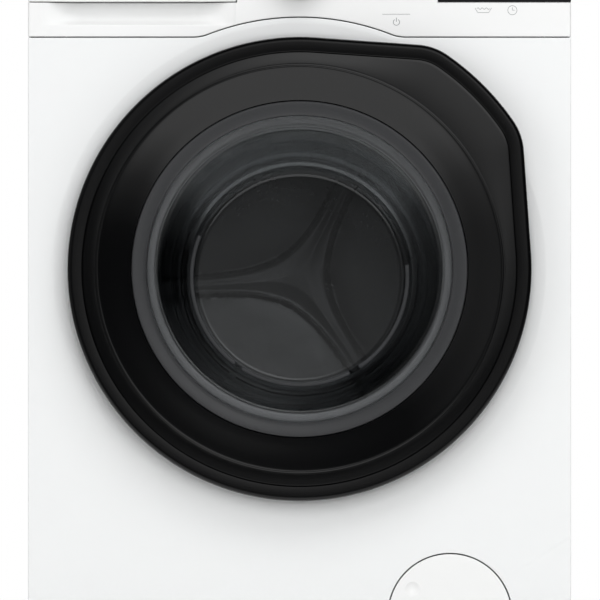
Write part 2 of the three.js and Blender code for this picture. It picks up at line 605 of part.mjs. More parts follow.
makeFrontPanel();
makeFascia();
makeSidePanel("left_side_panel", -1);
makeSidePanel("right_side_panel", 1);
makeRear();
makeBase();
makeFeet();
makeTop();
makeControls();
makeDrawer();
makeWater();
makeDampers();
makeHinge();
makeDoor();
makeGasket();
makeTub();
makeDrum();
makeDrive();

export default machine;
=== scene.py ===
import json
import math

import bmesh
import bpy
import numpy as np
from bpy.props import FloatProperty, FloatVectorProperty, IntProperty, PointerProperty
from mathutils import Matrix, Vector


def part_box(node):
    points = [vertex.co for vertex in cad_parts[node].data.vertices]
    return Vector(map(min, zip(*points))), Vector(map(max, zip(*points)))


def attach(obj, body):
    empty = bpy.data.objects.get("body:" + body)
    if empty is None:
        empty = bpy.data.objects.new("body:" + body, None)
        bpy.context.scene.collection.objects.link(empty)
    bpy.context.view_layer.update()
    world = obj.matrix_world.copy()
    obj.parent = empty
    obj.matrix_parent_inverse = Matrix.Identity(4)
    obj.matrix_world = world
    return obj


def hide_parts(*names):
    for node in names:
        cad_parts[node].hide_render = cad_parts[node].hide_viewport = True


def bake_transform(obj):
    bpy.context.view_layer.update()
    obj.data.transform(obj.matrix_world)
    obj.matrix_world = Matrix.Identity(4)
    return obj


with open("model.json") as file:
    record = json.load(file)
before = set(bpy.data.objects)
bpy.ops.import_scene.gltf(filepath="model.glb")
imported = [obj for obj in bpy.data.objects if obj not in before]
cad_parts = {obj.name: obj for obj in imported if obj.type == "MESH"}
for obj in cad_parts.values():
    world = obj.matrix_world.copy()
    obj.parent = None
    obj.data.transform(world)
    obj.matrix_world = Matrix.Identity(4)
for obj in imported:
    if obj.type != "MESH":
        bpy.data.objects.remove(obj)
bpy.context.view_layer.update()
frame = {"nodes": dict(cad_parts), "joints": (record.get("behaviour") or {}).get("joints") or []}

bl_info = {
    "name": "Front load washing machine",
    "version": (1, 0, 0),
    "blender": (4, 5, 0),
    "location": "View3D > Sidebar > Washer",
    "description": "Fine surfaces and finishes for a front load washing machine",
    "category": "Object",
}

MM = 0.001
TAU = 2 * math.pi
WELD = 0.002  # points closer than this are one


# ---------------------------------------------------------------------------------------------------------
# Surfaces: arrays of points, in millimetres, and the quads between them
# ---------------------------------------------------------------------------------------------------------

def skin(points, loop_u=False, loop_v=False):
    """Quads over a grid of points. A looped direction joins its last row or column back to its first."""
    rows, cols = points.shape[:2]
    index = np.arange(rows * cols).reshape(rows, cols)
    if loop_u:
        index = np.vstack([index, index[:1]])
    if loop_v:
        index = np.hstack([index, index[:, :1]])
    corners = [index[:-1, :-1], index[:-1, 1:], index[1:, 1:], index[1:, :-1]]
    return points.reshape(-1, 3), np.stack(corners, axis=-1).reshape(-1, 4)


def masked_sheet(front, keep, thickness):
    """A sheet with a front grid, a back grid set behind it along Y, and a wall wherever a kept cell meets an
    empty one. keep says which cells exist."""
    rows, cols = front.shape[:2]
    index = np.arange(rows * cols).reshape(rows, cols)
    back = front + np.array([0, thickness, 0])
    quads = np.stack([index[:-1, :-1], index[:-1, 1:], index[1:, 1:], index[1:, :-1]], axis=-1)
    padded = np.pad(keep, 1)
    faces = [quads[keep], quads[keep][:, ::-1] + rows * cols]
    sides = ((padded[:-2, 1:-1], 0, 1), (padded[1:-1, 2:], 1, 2), (padded[2:, 1:-1], 2, 3), (padded[1:-1, :-2], 3, 0))
    for neighbour, a, b in sides:
        edge = quads[keep & ~neighbour]
        low, high = edge[:, a], edge[:, b]
        faces.append(np.stack([high, low, low + rows * cols, high + rows * cols], axis=-1))
    return np.vstack([front.reshape(-1, 3), back.reshape(-1, 3)]), np.vstack(faces)


def softened(profile, reach, steps=5, closed=False):
    """A polyline whose corners are rounded: each is replaced by a quadratic curve that starts and ends
    `reach` away from it, or at the middle of a shorter side."""
    points = np.asarray(profile, float)
    reach = np.broadcast_to(reach, len(points))
    before, after = np.roll(points, 1, axis=0), np.roll(points, -1, axis=0)
    t = np.linspace(0, 1, steps)[:, None]
    out = []
    for k, corner in enumerate(points):
        if not closed and k in (0, len(points) - 1) or reach[k] == 0:
            out.append(corner[None])
            continue
        arms = []
        for other in (before[k], after[k]):
            length = np.linalg.norm(other - corner)
            arms.append(corner + (other - corner) * min(reach[k] / length, 0.5))
        out.append((1 - t) ** 2 * arms[0] + 2 * t * (1 - t) * corner + t ** 2 * arms[1])
    return np.vstack(out)


def carried(outline, profile, closed=False, capped=False):
    """Carries a profile of (inset, y) round an outline. outline(inset) gives its points as (x, z), and a capped
    surface shrinks to the outline's centre at both ends."""
    rings = []
    for inset, y in profile:
        ring = outline(inset)
        rings.append(np.column_stack([ring[:, 0], np.full(len(ring), y), ring[:, 1]]))
    if capped:
        first, last = rings[0], rings[-1]
        rings = [np.repeat(first.mean(0)[None], len(first), 0)] + rings
        rings.append(np.repeat(last.mean(0)[None], len(last), 0))
    return skin(np.stack(rings), loop_u=closed, loop_v=True)


def turned(profile, x=0.0, z=0.0, sides=160, closed=True, axis="Y", y=0.0):
    """Turns a profile of (radius, height) about a line along Y or Z through (x, y, z)."""
    profile = np.asarray(profile, float)
    angle = np.linspace(0, TAU, sides, endpoint=False)
    across = profile[:, :1] * np.cos(angle)
    up = profile[:, :1] * np.sin(angle)
    along = np.repeat(profile[:, 1:2], sides, axis=1)
    if axis == "Y":
        grid = np.stack([x + across, y + along, z + up], axis=-1)
    else:
        grid = np.stack([x + across, y + up, z + along], axis=-1)
    return skin(grid, loop_u=closed, loop_v=True)


def tube(path, radius, sides=12, loop=False):
    """A round section carried along a path of points. Its frame is the path's direction and the two directions
    square to it that lie nearest a fixed reference; an open tube ends in points on the path."""
    path = np.asarray(path, float)
    ahead = np.roll(path, -1, axis=0) - np.roll(path, 1, axis=0) if loop else np.gradient(path, axis=0)
    ahead /= np.linalg.norm(ahead, axis=1, keepdims=True)
    guide = np.array([0.0, 0.0, 1.0]) if abs(ahead[:, 2]).mean() < 0.7 else np.array([0.0, 1.0, 0.0])
    side = np.cross(ahead, guide)
    side /= np.linalg.norm(side, axis=1, keepdims=True)
    other = np.cross(ahead, side)
    angle = np.linspace(0, TAU, sides, endpoint=False)[None, :, None]
    radius = np.broadcast_to(radius, len(path))[:, None, None]
    grid = path[:, None] + radius * (np.cos(angle) * side[:, None] + np.sin(angle) * other[:, None])
    if not loop:
        ends = [np.repeat(path[k][None, None], sides, axis=1) for k in (0, -1)]
        grid = np.concatenate([ends[0], grid, ends[1]])
    return skin(grid, loop_u=loop, loop_v=True)


def moved(surface, change):
    """A surface whose points are put through change."""
    points, quads = surface
    return change(points), quads


def rounded_box(x, z, radius, steps=6):
    """A rectangular outline between x[0], x[1] and z[0], z[1] with round corners; an inset shrinks it."""
    def outline(inset):
        r = max(radius - inset, 0.02)
        angle = np.linspace(0, math.pi / 2, steps)
        corners = []
        for k, (cx, cz) in enumerate(((1, 1), (0, 1), (0, 0), (1, 0))):
            middle_x = x[cx] - (1 if cx else -1) * (inset + r)
            middle_z = z[cz] - (1 if cz else -1) * (inset + r)
            turn = angle + k * math.pi / 2
            corners.append(np.column_stack([middle_x + r * np.cos(turn), middle_z + r * np.sin(turn)]))
        return np.vstack(corners)
    return outline


def slab(outline, y0, y1, edge=1.0, steps=4):
    """A plate of an outline between two levels of Y, with its edges rounded."""
    profile = softened([(edge * 2, y0), (0, y0), (0, y1), (edge * 2, y1)], edge, steps)
    return carried(outline, profile, capped=True)


def upright(surface, x, y, z):
    """Turns a plate drawn in X and Z so that it lies flat, its Y pointing down, and moves it to (x, y, z)."""
    return moved(surface, lambda p: np.column_stack([x + p[:, 0], y + p[:, 2], z - p[:, 1]]))


FINISH = {}


def piece(name, surfaces, body, slot, replaces=None, finish=None, sharp=38.0):
    """One object from several closed surfaces: points and quads are stacked, doubles at seams and poles are
    merged, each shell is turned to face outwards, and edges sharper than `sharp` degrees stay crisp. Its finish
    is the one named after its slot, unless another is given. A piece without a body is not attached to one."""
    counts = np.cumsum([0] + [len(points) for points, _ in surfaces])
    points = np.vstack([points for points, _ in surfaces]) * MM
    quads = np.vstack([quads + start for (_, quads), start in zip(surfaces, counts)])
    mesh = bpy.data.meshes.new(name)
    mesh.from_pydata(points, [], quads)
    tidy = bmesh.new()
    tidy.from_mesh(mesh)
    bmesh.ops.remove_doubles(tidy, verts=tidy.verts, dist=WELD * MM)
    bmesh.ops.dissolve_degenerate(tidy, edges=tidy.edges, dist=WELD / 4 * MM)
    bmesh.ops.recalc_face_normals(tidy, faces=tidy.faces)
    tidy.to_mesh(mesh)
    tidy.free()
    mesh.shade_smooth()
    mesh.set_sharp_from_angle(angle=math.radians(sharp))
    made = bpy.data.objects.new(name, mesh)
    bpy.context.scene.collection.objects.link(made)
    made.data.materials.append(FINISH[finish or slot])
    if body:
        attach(made, body)
    if replaces:
        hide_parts(replaces)
    return made


# ---------------------------------------------------------------------------------------------------------
# Shader maths
# ---------------------------------------------------------------------------------------------------------

class Wire:
    """A shader value. Each operator adds the Math node that works it out."""

    def __init__(self, paint, socket):
        self.paint = paint
        self.socket = socket

    def __add__(self, other):
        return self.paint.sum("ADD", self, other)

    def __sub__(self, other):
        return self.paint.sum("SUBTRACT", self, other)

    def __mul__(self, other):
        return self.paint.sum("MULTIPLY", self, other)

    def __truediv__(self, other):
        return self.paint.sum("DIVIDE", self, other)

    def __rsub__(self, other):
        return self.paint.sum("SUBTRACT", other, self)

    __radd__ = __add__
    __rmul__ = __mul__


class Paint:
    """A material in the making: its nodes, and short names for the textures that the finishes share."""

    def __init__(self, name, tree=None):
        if tree is None:
            self.material = bpy.data.materials.new(name)
            self.material.use_nodes = True
            tree = self.material.node_tree
        self.nodes, self.links = tree.nodes, tree.links
        self.nodes.clear()
        self.place = self.node("ShaderNodeTexCoord", {}, out="Object")

    def node(self, kind, settings, *values, out=0, **named):
        """Any node: its settings first, then values or wires for its sockets by order or by name."""
        made = self.nodes.new(kind)
        stops = settings.pop("stops", None) if settings else None
        for key, value in settings.items():
            setattr(made, key, value)
        if stops:
            ramp = made.color_ramp
            while len(ramp.elements) < len(stops):
                ramp.elements.new(0.5)
            for element, (position, level) in zip(ramp.elements, stops):
                element.position = position
                element.color = (level, level, level, 1)
        sockets = list(zip(made.inputs, values))
        sockets += [(made.inputs[key.replace("_", " ")], value) for key, value in named.items()]
        for socket, value in sockets:
            if isinstance(value, Wire):
                self.links.new(value.socket, socket)
            elif value is not None:
                socket.default_value = value
        return Wire(self, made.outputs[out])

    def sum(self, operation, a, b=None):
        """A Math node on one or two values."""
        return self.node("ShaderNodeMath", {"operation": operation}, a, b)

    def noise(self, scale, detail=2.0, place=None):
        """Soft noise from 0 to 1; scale is in waves per metre."""
        return self.node("ShaderNodeTexNoise", {}, place or self.place, Scale=scale, Detail=detail)

    def stretched(self, x, y, z):
        """Object coordinates scaled along each axis."""
        return self.node("ShaderNodeMapping", {"vector_type": "POINT"}, self.place, Scale=(x, y, z))

    def ramp(self, value, *stops):
        """A grey level from a value, through stops of (position, level)."""
        return self.node("ShaderNodeValToRGB", {"stops": list(stops)}, value)

    def axes(self):
        """Object coordinates as three values."""
        split = self.nodes.new("ShaderNodeSeparateXYZ")
        self.links.new(self.place.socket, split.inputs[0])
        return [Wire(self, out) for out in split.outputs]

    def mixed(self, factor, a, b):
        """A colour between a and b."""
        made = self.nodes.new("ShaderNodeMix")
        made.data_type = "RGBA"
        for index, value in ((0, factor), (6, a), (7, b)):
            if isinstance(value, Wire):
                self.links.new(value.socket, made.inputs[index])
            else:
                made.inputs[index].default_value = (*value, 1) if index else value
        return Wire(self, made.outputs[2])

    def bump(self, height, depth, strength=1.0):
        """A normal from a height between 0 and 1; depth is in metres."""
        return self.node("ShaderNodeBump", {}, Strength=strength, Distance=depth, Height=height)

    def surface(self, color, roughness, normal=None, **constants):
        """The Principled shader, and the output. Constants are set on its own sockets."""
        if not isinstance(color, Wire):
            color = (*color, 1)
        names = {key.replace("_", " "): value for key, value in constants.items()}
        shader = self.nodes.new("ShaderNodeBsdfPrincipled")
        for key, value in {"Base Color": color, "Roughness": roughness, "Normal": normal, **names}.items():
            if isinstance(value, Wire):
                self.links.new(value.socket, shader.inputs[key])
            elif value is not None:
                shader.inputs[key].default_value = value
        self.shown(Wire(self, shader.outputs[0]))
        return self.material

    def shown(self, shader, kind="ShaderNodeOutputMaterial"):
        """Joins a shader to the output."""
        output = self.nodes.new(kind)
        self.links.new(shader.socket, output.inputs["Surface"])


def shade(color, factor):
    """A colour made darker or lighter by a factor."""
    return tuple(channel * factor for channel in color)


# ---------------------------------------------------------------------------------------------------------
# Finishes
# ---------------------------------------------------------------------------------------------------------

def enamel(name, color, peel=0.00002):
    """Stove enamel on sheet: a fine orange peel, broad drifts of gloss, and a trace of dust low down."""
    paint = Paint(name)
    drift = paint.noise(7.0, 3)
    fine = paint.noise(1100.0, 1)
    height = paint.axes()[2]
    low = paint.node("ShaderNodeMapRange", {}, height, From_Min=0.0, From_Max=0.12, To_Min=1.0, To_Max=0.0)
    dust = low * paint.noise(260.0, 6) * 0.35
    tone = paint.mixed(drift * 0.5, color, shade(color, 0.975))
    tone = paint.mixed(dust, tone, shade(color, 0.72))
    gloss = 0.27 + drift * 0.09 + dust * 0.4
    return paint.surface(tone, gloss, paint.bump(fine, peel, 0.5), Coat_Weight=0.25, Coat_Roughness=0.12)


def moulded(name, color, roughness=0.4, grain=900.0, depth=0.00003, wear=0.06):
    """Moulded plastic: spark grain, faint flow marks, and a little polish where it has been handled."""
    paint = Paint(name)
    flow = paint.noise(9.0, 4)
    spark = paint.noise(grain, 3)
    rubbed = paint.ramp(paint.noise(22.0, 5), (0.45, 0.0), (0.7, 1.0))
    tone = paint.mixed(flow * 0.6, color, shade(color, 0.93))
    tone = paint.mixed(spark * 0.12, tone, shade(color, 1.12))
    gloss = roughness + spark * 0.08 - rubbed * wear + flow * 0.04
    return paint.surface(tone, gloss, paint.bump(spark, depth, 0.6))


def polished(name, color, roughness=0.05, coat=0.6):
    """Polished plastic: nearly a mirror, with hairline swirls and the faint smear of a wiping cloth."""
    paint = Paint(name)
    smear = paint.noise(5.0, 4, paint.stretched(1.0, 1.0, 2.6))
    hair = paint.noise(420.0, 2, paint.stretched(1.0, 1.0, 0.06))
    speck = paint.ramp(paint.noise(1900.0, 1), (0.72, 0.0), (0.78, 1.0))
    gloss = roughness + smear * 0.05 + hair * 0.02 + speck * 0.05
    tone = paint.mixed(speck * 0.5, color, tuple(c + 0.003 for c in color))
    return paint.surface(tone, gloss, Coat_Weight=coat, Coat_Roughness=0.03)


def clear_glass(name, tint, rim=0.75):
    """Pressed glass: it lets most light through with a faint tint, and mirrors more at a glancing angle."""
    paint = Paint(name)
    ripple = paint.noise(24.0, 3)
    normal = paint.bump(ripple, 0.0006, 0.35)
    edge = paint.node("ShaderNodeLayerWeight", {}, Blend=0.35, Normal=normal, out="Fresnel")
    mirror = edge * rim + 0.03 + paint.noise(6.0, 3) * 0.02
    see = paint.node("ShaderNodeBsdfTransparent", {}, (*tint, 1))
    shine = paint.node("ShaderNodeBsdfGlossy", {}, (0.92, 0.94, 0.95, 1), 0.045, Normal=normal)
    paint.shown(paint.node("ShaderNodeMixShader", {}, mirror, see, shine))
    return paint.material


def brushed(name, color, along=(1.0, 60.0, 60.0), roughness=0.28, grain=38.0):
    """Ground or rolled steel: fine lines in one direction, with broad patches that are a little duller."""
    paint = Paint(name)
    lines = paint.noise(grain, 4, paint.stretched(*along))
    patch = paint.noise(11.0, 4)
    tone = paint.mixed(lines * 0.5, shade(color, 0.82), color)
    gloss = roughness + lines * 0.12 + patch * 0.08
    return paint.surface(tone, gloss, paint.bump(lines, 0.00004, 0.5), Metallic=1.0)


def galvanised(name, color):
    """Zinc coated sheet: large angular spangles that differ in tone and gloss, with dull edges between."""
    paint = Paint(name)
    cell = paint.node("ShaderNodeTexVoronoi", {}, paint.place, Scale=95.0, out="Color")
    grey = paint.node("ShaderNodeRGBToBW", {}, cell)
    stain = paint.noise(13.0, 5)
    tone = paint.mixed(grey, shade(color, 0.78), color)
    tone = paint.mixed(stain * 0.35, tone, shade(color, 0.62))
    return paint.surface(tone, 0.32 + grey * 0.16 + stain * 0.1, paint.bump(grey, 0.00003, 0.4), Metallic=0.9)


def cast(name, color):
    """Cast metal: a sandy skin with shallow pits."""
    paint = Paint(name)
    sand = paint.noise(700.0, 4)
    pits = paint.ramp(paint.noise(160.0, 3), (0.3, 0.0), (0.42, 1.0))
    tone = paint.mixed(sand * 0.6, shade(color, 0.7), color)
    height = sand * 0.6 + pits * 0.4
    return paint.surface(tone, 0.42 + sand * 0.18, paint.bump(height, 0.00012, 0.7), Metallic=1.0)


def rubber(name, color, bloom=0.25):
    """Moulded rubber: matt, with a fine tooth and a pale bloom in patches."""
    paint = Paint(name)
    tooth = paint.noise(1300.0, 2)
    patch = paint.ramp(paint.noise(16.0, 5), (0.4, 0.0), (0.75, 1.0))
    tone = paint.mixed(patch * bloom, color, tuple(c * 1.3 + 0.02 for c in color))
    return paint.surface(tone, 0.5 + tooth * 0.15 + patch * 0.1, paint.bump(tooth, 0.00004, 0.6))


def concrete(name, color):
    """Cast concrete: pale aggregate in a darker paste, with air holes whose dark tone is painted shade."""
    paint = Paint(name)
    stones = paint.node("ShaderNodeTexVoronoi", {}, paint.place, Scale=130.0, out="Distance")
    holes = paint.ramp(paint.noise(210.0, 2), (0.3, 0.0), (0.36, 1.0))
    paste = paint.noise(60.0, 6)
    tone = paint.mixed(stones * 0.9, tuple(c * 1.25 for c in color), shade(color, 0.8))
    # Inside the air holes the tone is darkened: painted shade in the pits, not a colour of the concrete.
    tone = paint.mixed((1 - holes) * 0.7, tone, shade(color, 0.35))
    height = holes * 0.6 + paste * 0.4
    return paint.surface(tone, 0.82 + paste * 0.12, paint.bump(height, 0.0008, 0.8))


def perforated(name, color, radius, level, pitch, hole):
    """Rolled steel drum wall: rows of punched holes, every second row set half a pitch round, on fine lines
    that run round the drum. Each hole is painted near black, as painted shade of the dark gap behind the wall.
    The pattern is laid out on the angle about the drum's axis and on Y."""
    paint = Paint(name)
    x, y, z = paint.axes()
    turn = paint.sum("ARCTAN2", z - level, x) * (radius / pitch)
    row = y / (pitch * 0.87)
    offset = paint.sum("MODULO", paint.sum("FLOOR", row + 100.0), 2.0) * 0.5
    across = paint.sum("FRACT", turn + offset + 200.0) - 0.5
    along = (paint.sum("FRACT", row + 100.0) - 0.5) * 0.87
    far = paint.sum("SQRT", across * across + along * along) * (pitch / hole)
    wall = paint.node("ShaderNodeMapRange", {"clamp": True}, far, From_Min=0.8, From_Max=1.15)
    lines = paint.noise(30.0, 4, paint.stretched(1.0, 90.0, 1.0))
    tone = paint.mixed(lines * 0.5, shade(color, 0.8), color)
    # Each hole is painted near black: painted shade of the dark gap behind the drum wall.
    tone = paint.mixed(wall, shade(color, 0.03), tone)
    height = wall * 0.9 + lines * 0.04
    gloss = 0.26 + lines * 0.14 + (1 - wall) * 0.4
    return paint.surface(tone, gloss, paint.bump(height, 0.0009, 0.9), Metallic=1.0)


def printed(name, color):
    """Screen printing: flat ink with the edge of the mesh in it."""
    paint = Paint(name)
    ink = paint.noise(1500.0, 2)
    return paint.surface(paint.mixed(ink * 0.3, color, shade(color, 0.85)), 0.45 + ink * 0.1,
                         paint.bump(ink, 0.00001, 0.4))


# ---------------------------------------------------------------------------------------------------------
# Places, in millimetres: from the frame where a CAD part gives them
# ---------------------------------------------------------------------------------------------------------

def limits(node):
    """A CAD part's two corners, in millimetres."""
    low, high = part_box(node)
    return low / MM, high / MM


def joint_place(name):
    """A joint's place, in millimetres."""
    found = next(joint for joint in frame["joints"] if joint["name"] == name)
    return [value / MM for value in found["pos_m"]]


# Cabinet
PANEL_LOW, PANEL_HIGH = limits("front_panel")
PANEL_Y, FOOT_Z, HALF_W = PANEL_LOW.y, PANEL_LOW.z, PANEL_HIGH.x
SIDE_LOW, SIDE_HIGH = limits("right_side_panel")
REAR_LOW, REAR_HIGH = limits("rear_panel")
SHEET = 2.5
PANEL_EDGE = 1.2  # radius of a folded edge
PANEL_RIM = 23.4  # depth of the front panel's folded rim
INLET_X, INLET_Z = -180, 782
DRAIN_X, DRAIN_Z = 230, 130

# Seam under the control panel: level at the sides, arched over the door, a fillet between
SEAM_Z, SEAM_ARCH_R, SEAM_FILLET = 699, 277, 44

# Controls and drawer
FASCIA_HIGH = limits("fascia")[1]
DRAWER_LOW, DRAWER_HIGH = limits("drawer_front")
DISPLAY_LOW, DISPLAY_HIGH = limits("display_window")
FASCIA_DRAWER_Z = DRAWER_LOW.z - 1
KNOB_Z = joint_place("knob_turn")[2]
BUTTON_X = 106.5
SCOOP_LEFT, SCOOP_RIGHT = -284, -71  # ends of the hollow for the fingers
INK_DEPTH, INK_PROUD = 0.22, 0.12

# Door, and the recess around it
BEZEL_LOW, BEZEL_HIGH = limits("door_bezel")
BOWL_LOW, BOWL_HIGH = limits("door_glass")
RING_LOW, RING_HIGH = limits("door_window_ring")
DOOR_Z = joint_place("door_hinge")[2]
DOOR_R = -BEZEL_LOW.x
WING_R, WING_FILLET, WING_BACK_Y = DOOR_R + 30.8, 66, -303
WING_TANGENT = math.radians(4)  # where the wing's side leaves the circle
BEZEL_WIDTH = 16
CREASE_R = 221.5  # where the cover turns down into its dish
RING_R, RING_Y = RING_HIGH.x, RING_LOW.y
GLASS_R, BOWL_R, BOWL_WALL = BOWL_HIGH.x, 122, 5
RECESS_R, RECESS_Y, OPENING_R = 270.5, PANEL_Y + 12, 170

# Filter flap
FLAP_X, FLAP_Z, FLAP_R = joint_place("flap_hinge")[0], 63, 67.5
FLAP_FOOT = limits("filter_flap")[0].z

# Drum
DRUM_LOW, DRUM_HIGH = limits("drum_shell")
DRUM_Z, DRUM_R = joint_place("drum_spin")[2], DRUM_HIGH.x
STAR_ANGLES = (64, 184, 304)  # degrees: the arms on the drum's back

# Stage, in metres
FLOOR_R = 2.1
EYE_X, EYE_Z = 0.0005, 0.410
EYE_AWAY = 10  # from the panel's face
SENSOR = 36
VIEW_WIDTH = 0.6597  # how much of the panel's plane the camera takes in
WINDOW_WAY = (0.13, -0.95, 0.29)  # towards the soft window that polished parts mirror
DIFFUSE_ROOM = (0.42, 0.42, 0.424)


def arc(x, z, radius, start, end, steps):
    """Points on a circle about (x, z) between two angles, both ends in."""
    angle = np.linspace(start, end, steps)
    return np.column_stack([x + radius * np.cos(angle), z + radius * np.sin(angle)])


def door_outline(inset):
    """A circle with a wing towards the upper right. The wing's two straight sides leave the circle at its
    tangents, and two fillets lead them into an arc about the same centre."""
    reach = WING_R - WING_FILLET
    turn = math.acos((DOOR_R - WING_FILLET) / reach)
    low, high, upper = WING_TANGENT + turn, math.pi / 2 - WING_TANGENT - turn, math.pi / 2 - WING_TANGENT
    fillet = WING_FILLET - inset

    def corner(angle, start, end):
        return arc(reach * math.cos(angle), DOOR_Z + reach * math.sin(angle), fillet, start, end, 14)
    body = arc(0, DOOR_Z, DOOR_R - inset, upper, TAU + WING_TANGENT, 300)
    near, far = corner(low, WING_TANGENT, low), corner(high, high, upper)
    side = np.linspace(0, 1, 10)[1:-1, None]
    return np.vstack([
        body, body[-1] * (1 - side) + near[0] * side, near,
        arc(0, DOOR_Z, WING_R - inset, low, high, 14)[1:-1], far, far[-1] * (1 - side) + body[0] * side,
    ])


def seam_height(x, drop=0.0):
    """Height of the seam over x: level at the sides, an arch about the door's centre, and a fillet between."""
    fillet_z = SEAM_Z + SEAM_FILLET
    fillet_x = math.sqrt((SEAM_ARCH_R + SEAM_FILLET) ** 2 - (fillet_z - DOOR_Z) ** 2)
    meet = fillet_x * SEAM_ARCH_R / (SEAM_ARCH_R + SEAM_FILLET)
    far = np.abs(x)
    arch = DOOR_Z + np.sqrt(np.maximum((SEAM_ARCH_R - drop) ** 2 - far ** 2, 0))
    fillet = fillet_z - np.sqrt(np.maximum((SEAM_FILLET + drop) ** 2 - (far - fillet_x) ** 2, 0))
    return np.where(far < meet, arch, np.where(far < fillet_x, fillet, SEAM_Z - drop))


def reach(x, z, angle, centre_x, centre_z, radius, foot=None):
    """How far a disc's edge lies from (x, z) along each angle, where a straight foot may cut the disc off."""
    across, up = np.cos(angle), np.sin(angle)
    dx, dz = x - centre_x, z - centre_z
    middle = dx * across + dz * up
    far = -middle + np.sqrt(np.maximum(middle ** 2 - (dx * dx + dz * dz - radius * radius), 0))
    if foot is not None:
        down = np.where(up < -1e-6, (foot - z) / np.minimum(up, -1e-6), np.inf)
        far = np.minimum(far, down)
    return far


def line(a, b, spacing=5):
    """Points from a up to, but not including, b."""
    steps = max(2, round(math.dist(a, b) / spacing))
    return np.linspace(a, b, steps, endpoint=False)


def ring_at(points, y):
    """Points of (x, z) set at one level of Y."""
    return np.column_stack([points[:, 0], np.full(len(points), y), points[:, 1]])


# ---------------------------------------------------------------------------------------------------------
# Cabinet
# ---------------------------------------------------------------------------------------------------------

def panel_rings(outer, inward, centre, inner, back_y):
    """Closed rings for a sheet with one hole: back along its folded rim, over the rounded edge, across the
    face, through the profile of the hole, and home along the back. inner lists (reach function, y)."""
    rings = [ring_at(outer, back_y)]
    for angle in np.linspace(0, math.pi / 2, 6):
        in_by, back_by = PANEL_EDGE * (1 - math.cos(angle)), PANEL_EDGE * (1 - math.sin(angle))
        rings.append(ring_at(outer + inward * in_by, PANEL_Y + back_by))
    rings.append(ring_at(outer + inward * PANEL_EDGE * 1.6, PANEL_Y))
    angle = np.arctan2(outer[:, 1] - centre[1], outer[:, 0] - centre[0])
    for far, y in inner:
        radius = far(angle)
        ring = np.column_stack([centre[0] + radius * np.cos(angle), centre[1] + radius * np.sin(angle)])
        rings.append(ring_at(ring, y))
    rings.append(ring_at(outer + inward * SHEET, PANEL_Y + SHEET))
    rings.append(ring_at(outer + inward * SHEET, back_y))
    return skin(np.stack(rings), loop_u=True, loop_v=True)


def sides_joined(sides):
    """An outline and the way inwards at each of its points, from sides of (points, way, way at the corner)."""
    outer = np.vstack([points for points, _, _ in sides])
    inward = np.vstack([np.vstack([[corner], np.tile(way, (len(points) - 1, 1))]) for points, way, corner in sides])
    return outer, inward.astype(float)


def front_panel_surfaces():
    """The panel is two sheets that meet edge to edge: one holds the recess, the other the flap's opening."""
    back_y = PANEL_Y + PANEL_RIM
    patch_x, patch_z = 80, 150
    seam_x = np.linspace(HALF_W, -HALF_W, 150)
    seam = np.column_stack([seam_x, seam_height(seam_x, 0.6)])
    outer, inward = sides_joined([
        (line((HALF_W, patch_z), (HALF_W, seam[0, 1])), (-1, 0), (-1, 0)),
        (seam[:-1], (0, -1), (-1, -1)),
        (line((-HALF_W, seam[-1, 1]), (-HALF_W, FOOT_Z)), (1, 0), (1, -1)),
        (line((-HALF_W, FOOT_Z), (patch_x, FOOT_Z)), (0, 1), (1, 1)),
        (line((patch_x, FOOT_Z), (patch_x, patch_z)), (0, 0), (0, 1)),
        (line((patch_x, patch_z), (HALF_W, patch_z)), (0, 0), (0, 0)),
    ])
    dish = softened([
        (RECESS_R + 2.4, PANEL_Y), (RECESS_R, PANEL_Y), (255, PANEL_Y + 2.2), (243, RECESS_Y),
        (OPENING_R + 6, RECESS_Y), (OPENING_R, RECESS_Y), (OPENING_R, RECESS_Y + 16),
        (OPENING_R + SHEET, RECESS_Y + 16), (OPENING_R + SHEET, RECESS_Y + SHEET), (243, RECESS_Y + SHEET),
        (256, PANEL_Y + 5.6), (RECESS_R, PANEL_Y + SHEET),
    ], [0, 2.4, 6, 5, 0, 1.5, 1, 1, 1, 3, 3, 3], 7)
    hole = [(lambda a, r=r: np.full_like(a, r), y) for r, y in dish]
    main = panel_rings(outer, inward, (0, DOOR_Z), hole, back_y)

    outer, inward = sides_joined([
        (line((HALF_W, FOOT_Z), (HALF_W, patch_z)), (-1, 0), (-1, 1)),
        (line((HALF_W, patch_z), (patch_x, patch_z)), (0, 0), (0, 0)),
        (line((patch_x, patch_z), (patch_x, FOOT_Z)), (0, 0), (0, 0)),
        (line((patch_x, FOOT_Z), (HALF_W, FOOT_Z)), (0, 1), (0, 1)),
    ])

    def opening(grow):
        return lambda a: reach(FLAP_X, FLAP_Z, a, FLAP_X, FLAP_Z, FLAP_R + grow, FLAP_FOOT - grow)
    hole = [(opening(3), PANEL_Y), (opening(1.9), PANEL_Y), (opening(1.5), PANEL_Y + 0.2),
            (opening(1.4), PANEL_Y + 0.6), (opening(1.4), PANEL_Y + SHEET)]
    patch = panel_rings(outer, inward, (FLAP_X, FLAP_Z), hole, back_y)
    return [main, patch]


def shoulder(value, low, high, soft):
    """1 between low and high, 0 outside, with a smooth step of width soft at each."""
    rise = np.clip((value - low) / soft, 0, 1)
    fall = np.clip((high - value) / soft, 0, 1)
    both = np.minimum(rise, fall)
    return both * both * (3 - 2 * both)


def rolled(distance, radius):
    """How far a face falls back near its edge: a quarter circle of this radius, by the distance to the edge."""
    near = np.clip(radius - distance, 0, radius)
    return radius - np.sqrt(radius * radius - near * near)


def bar(x, y, z, edge=0.6, corner=1.0):
    """A block between pairs of limits, with its edges rounded."""
    return slab(rounded_box(x, z, corner, 4), y[0], y[1], edge, 3)


def sheet_between(outside, inside):
    """A closed shell from two grids of the same shape: both faces and the four walls between."""
    rings = np.concatenate([outside, inside[::-1]])
    walls = [skin(np.stack([outside[:, k], inside[:, k]])) for k in (0, -1)]
    return [skin(rings, loop_u=True), *walls]


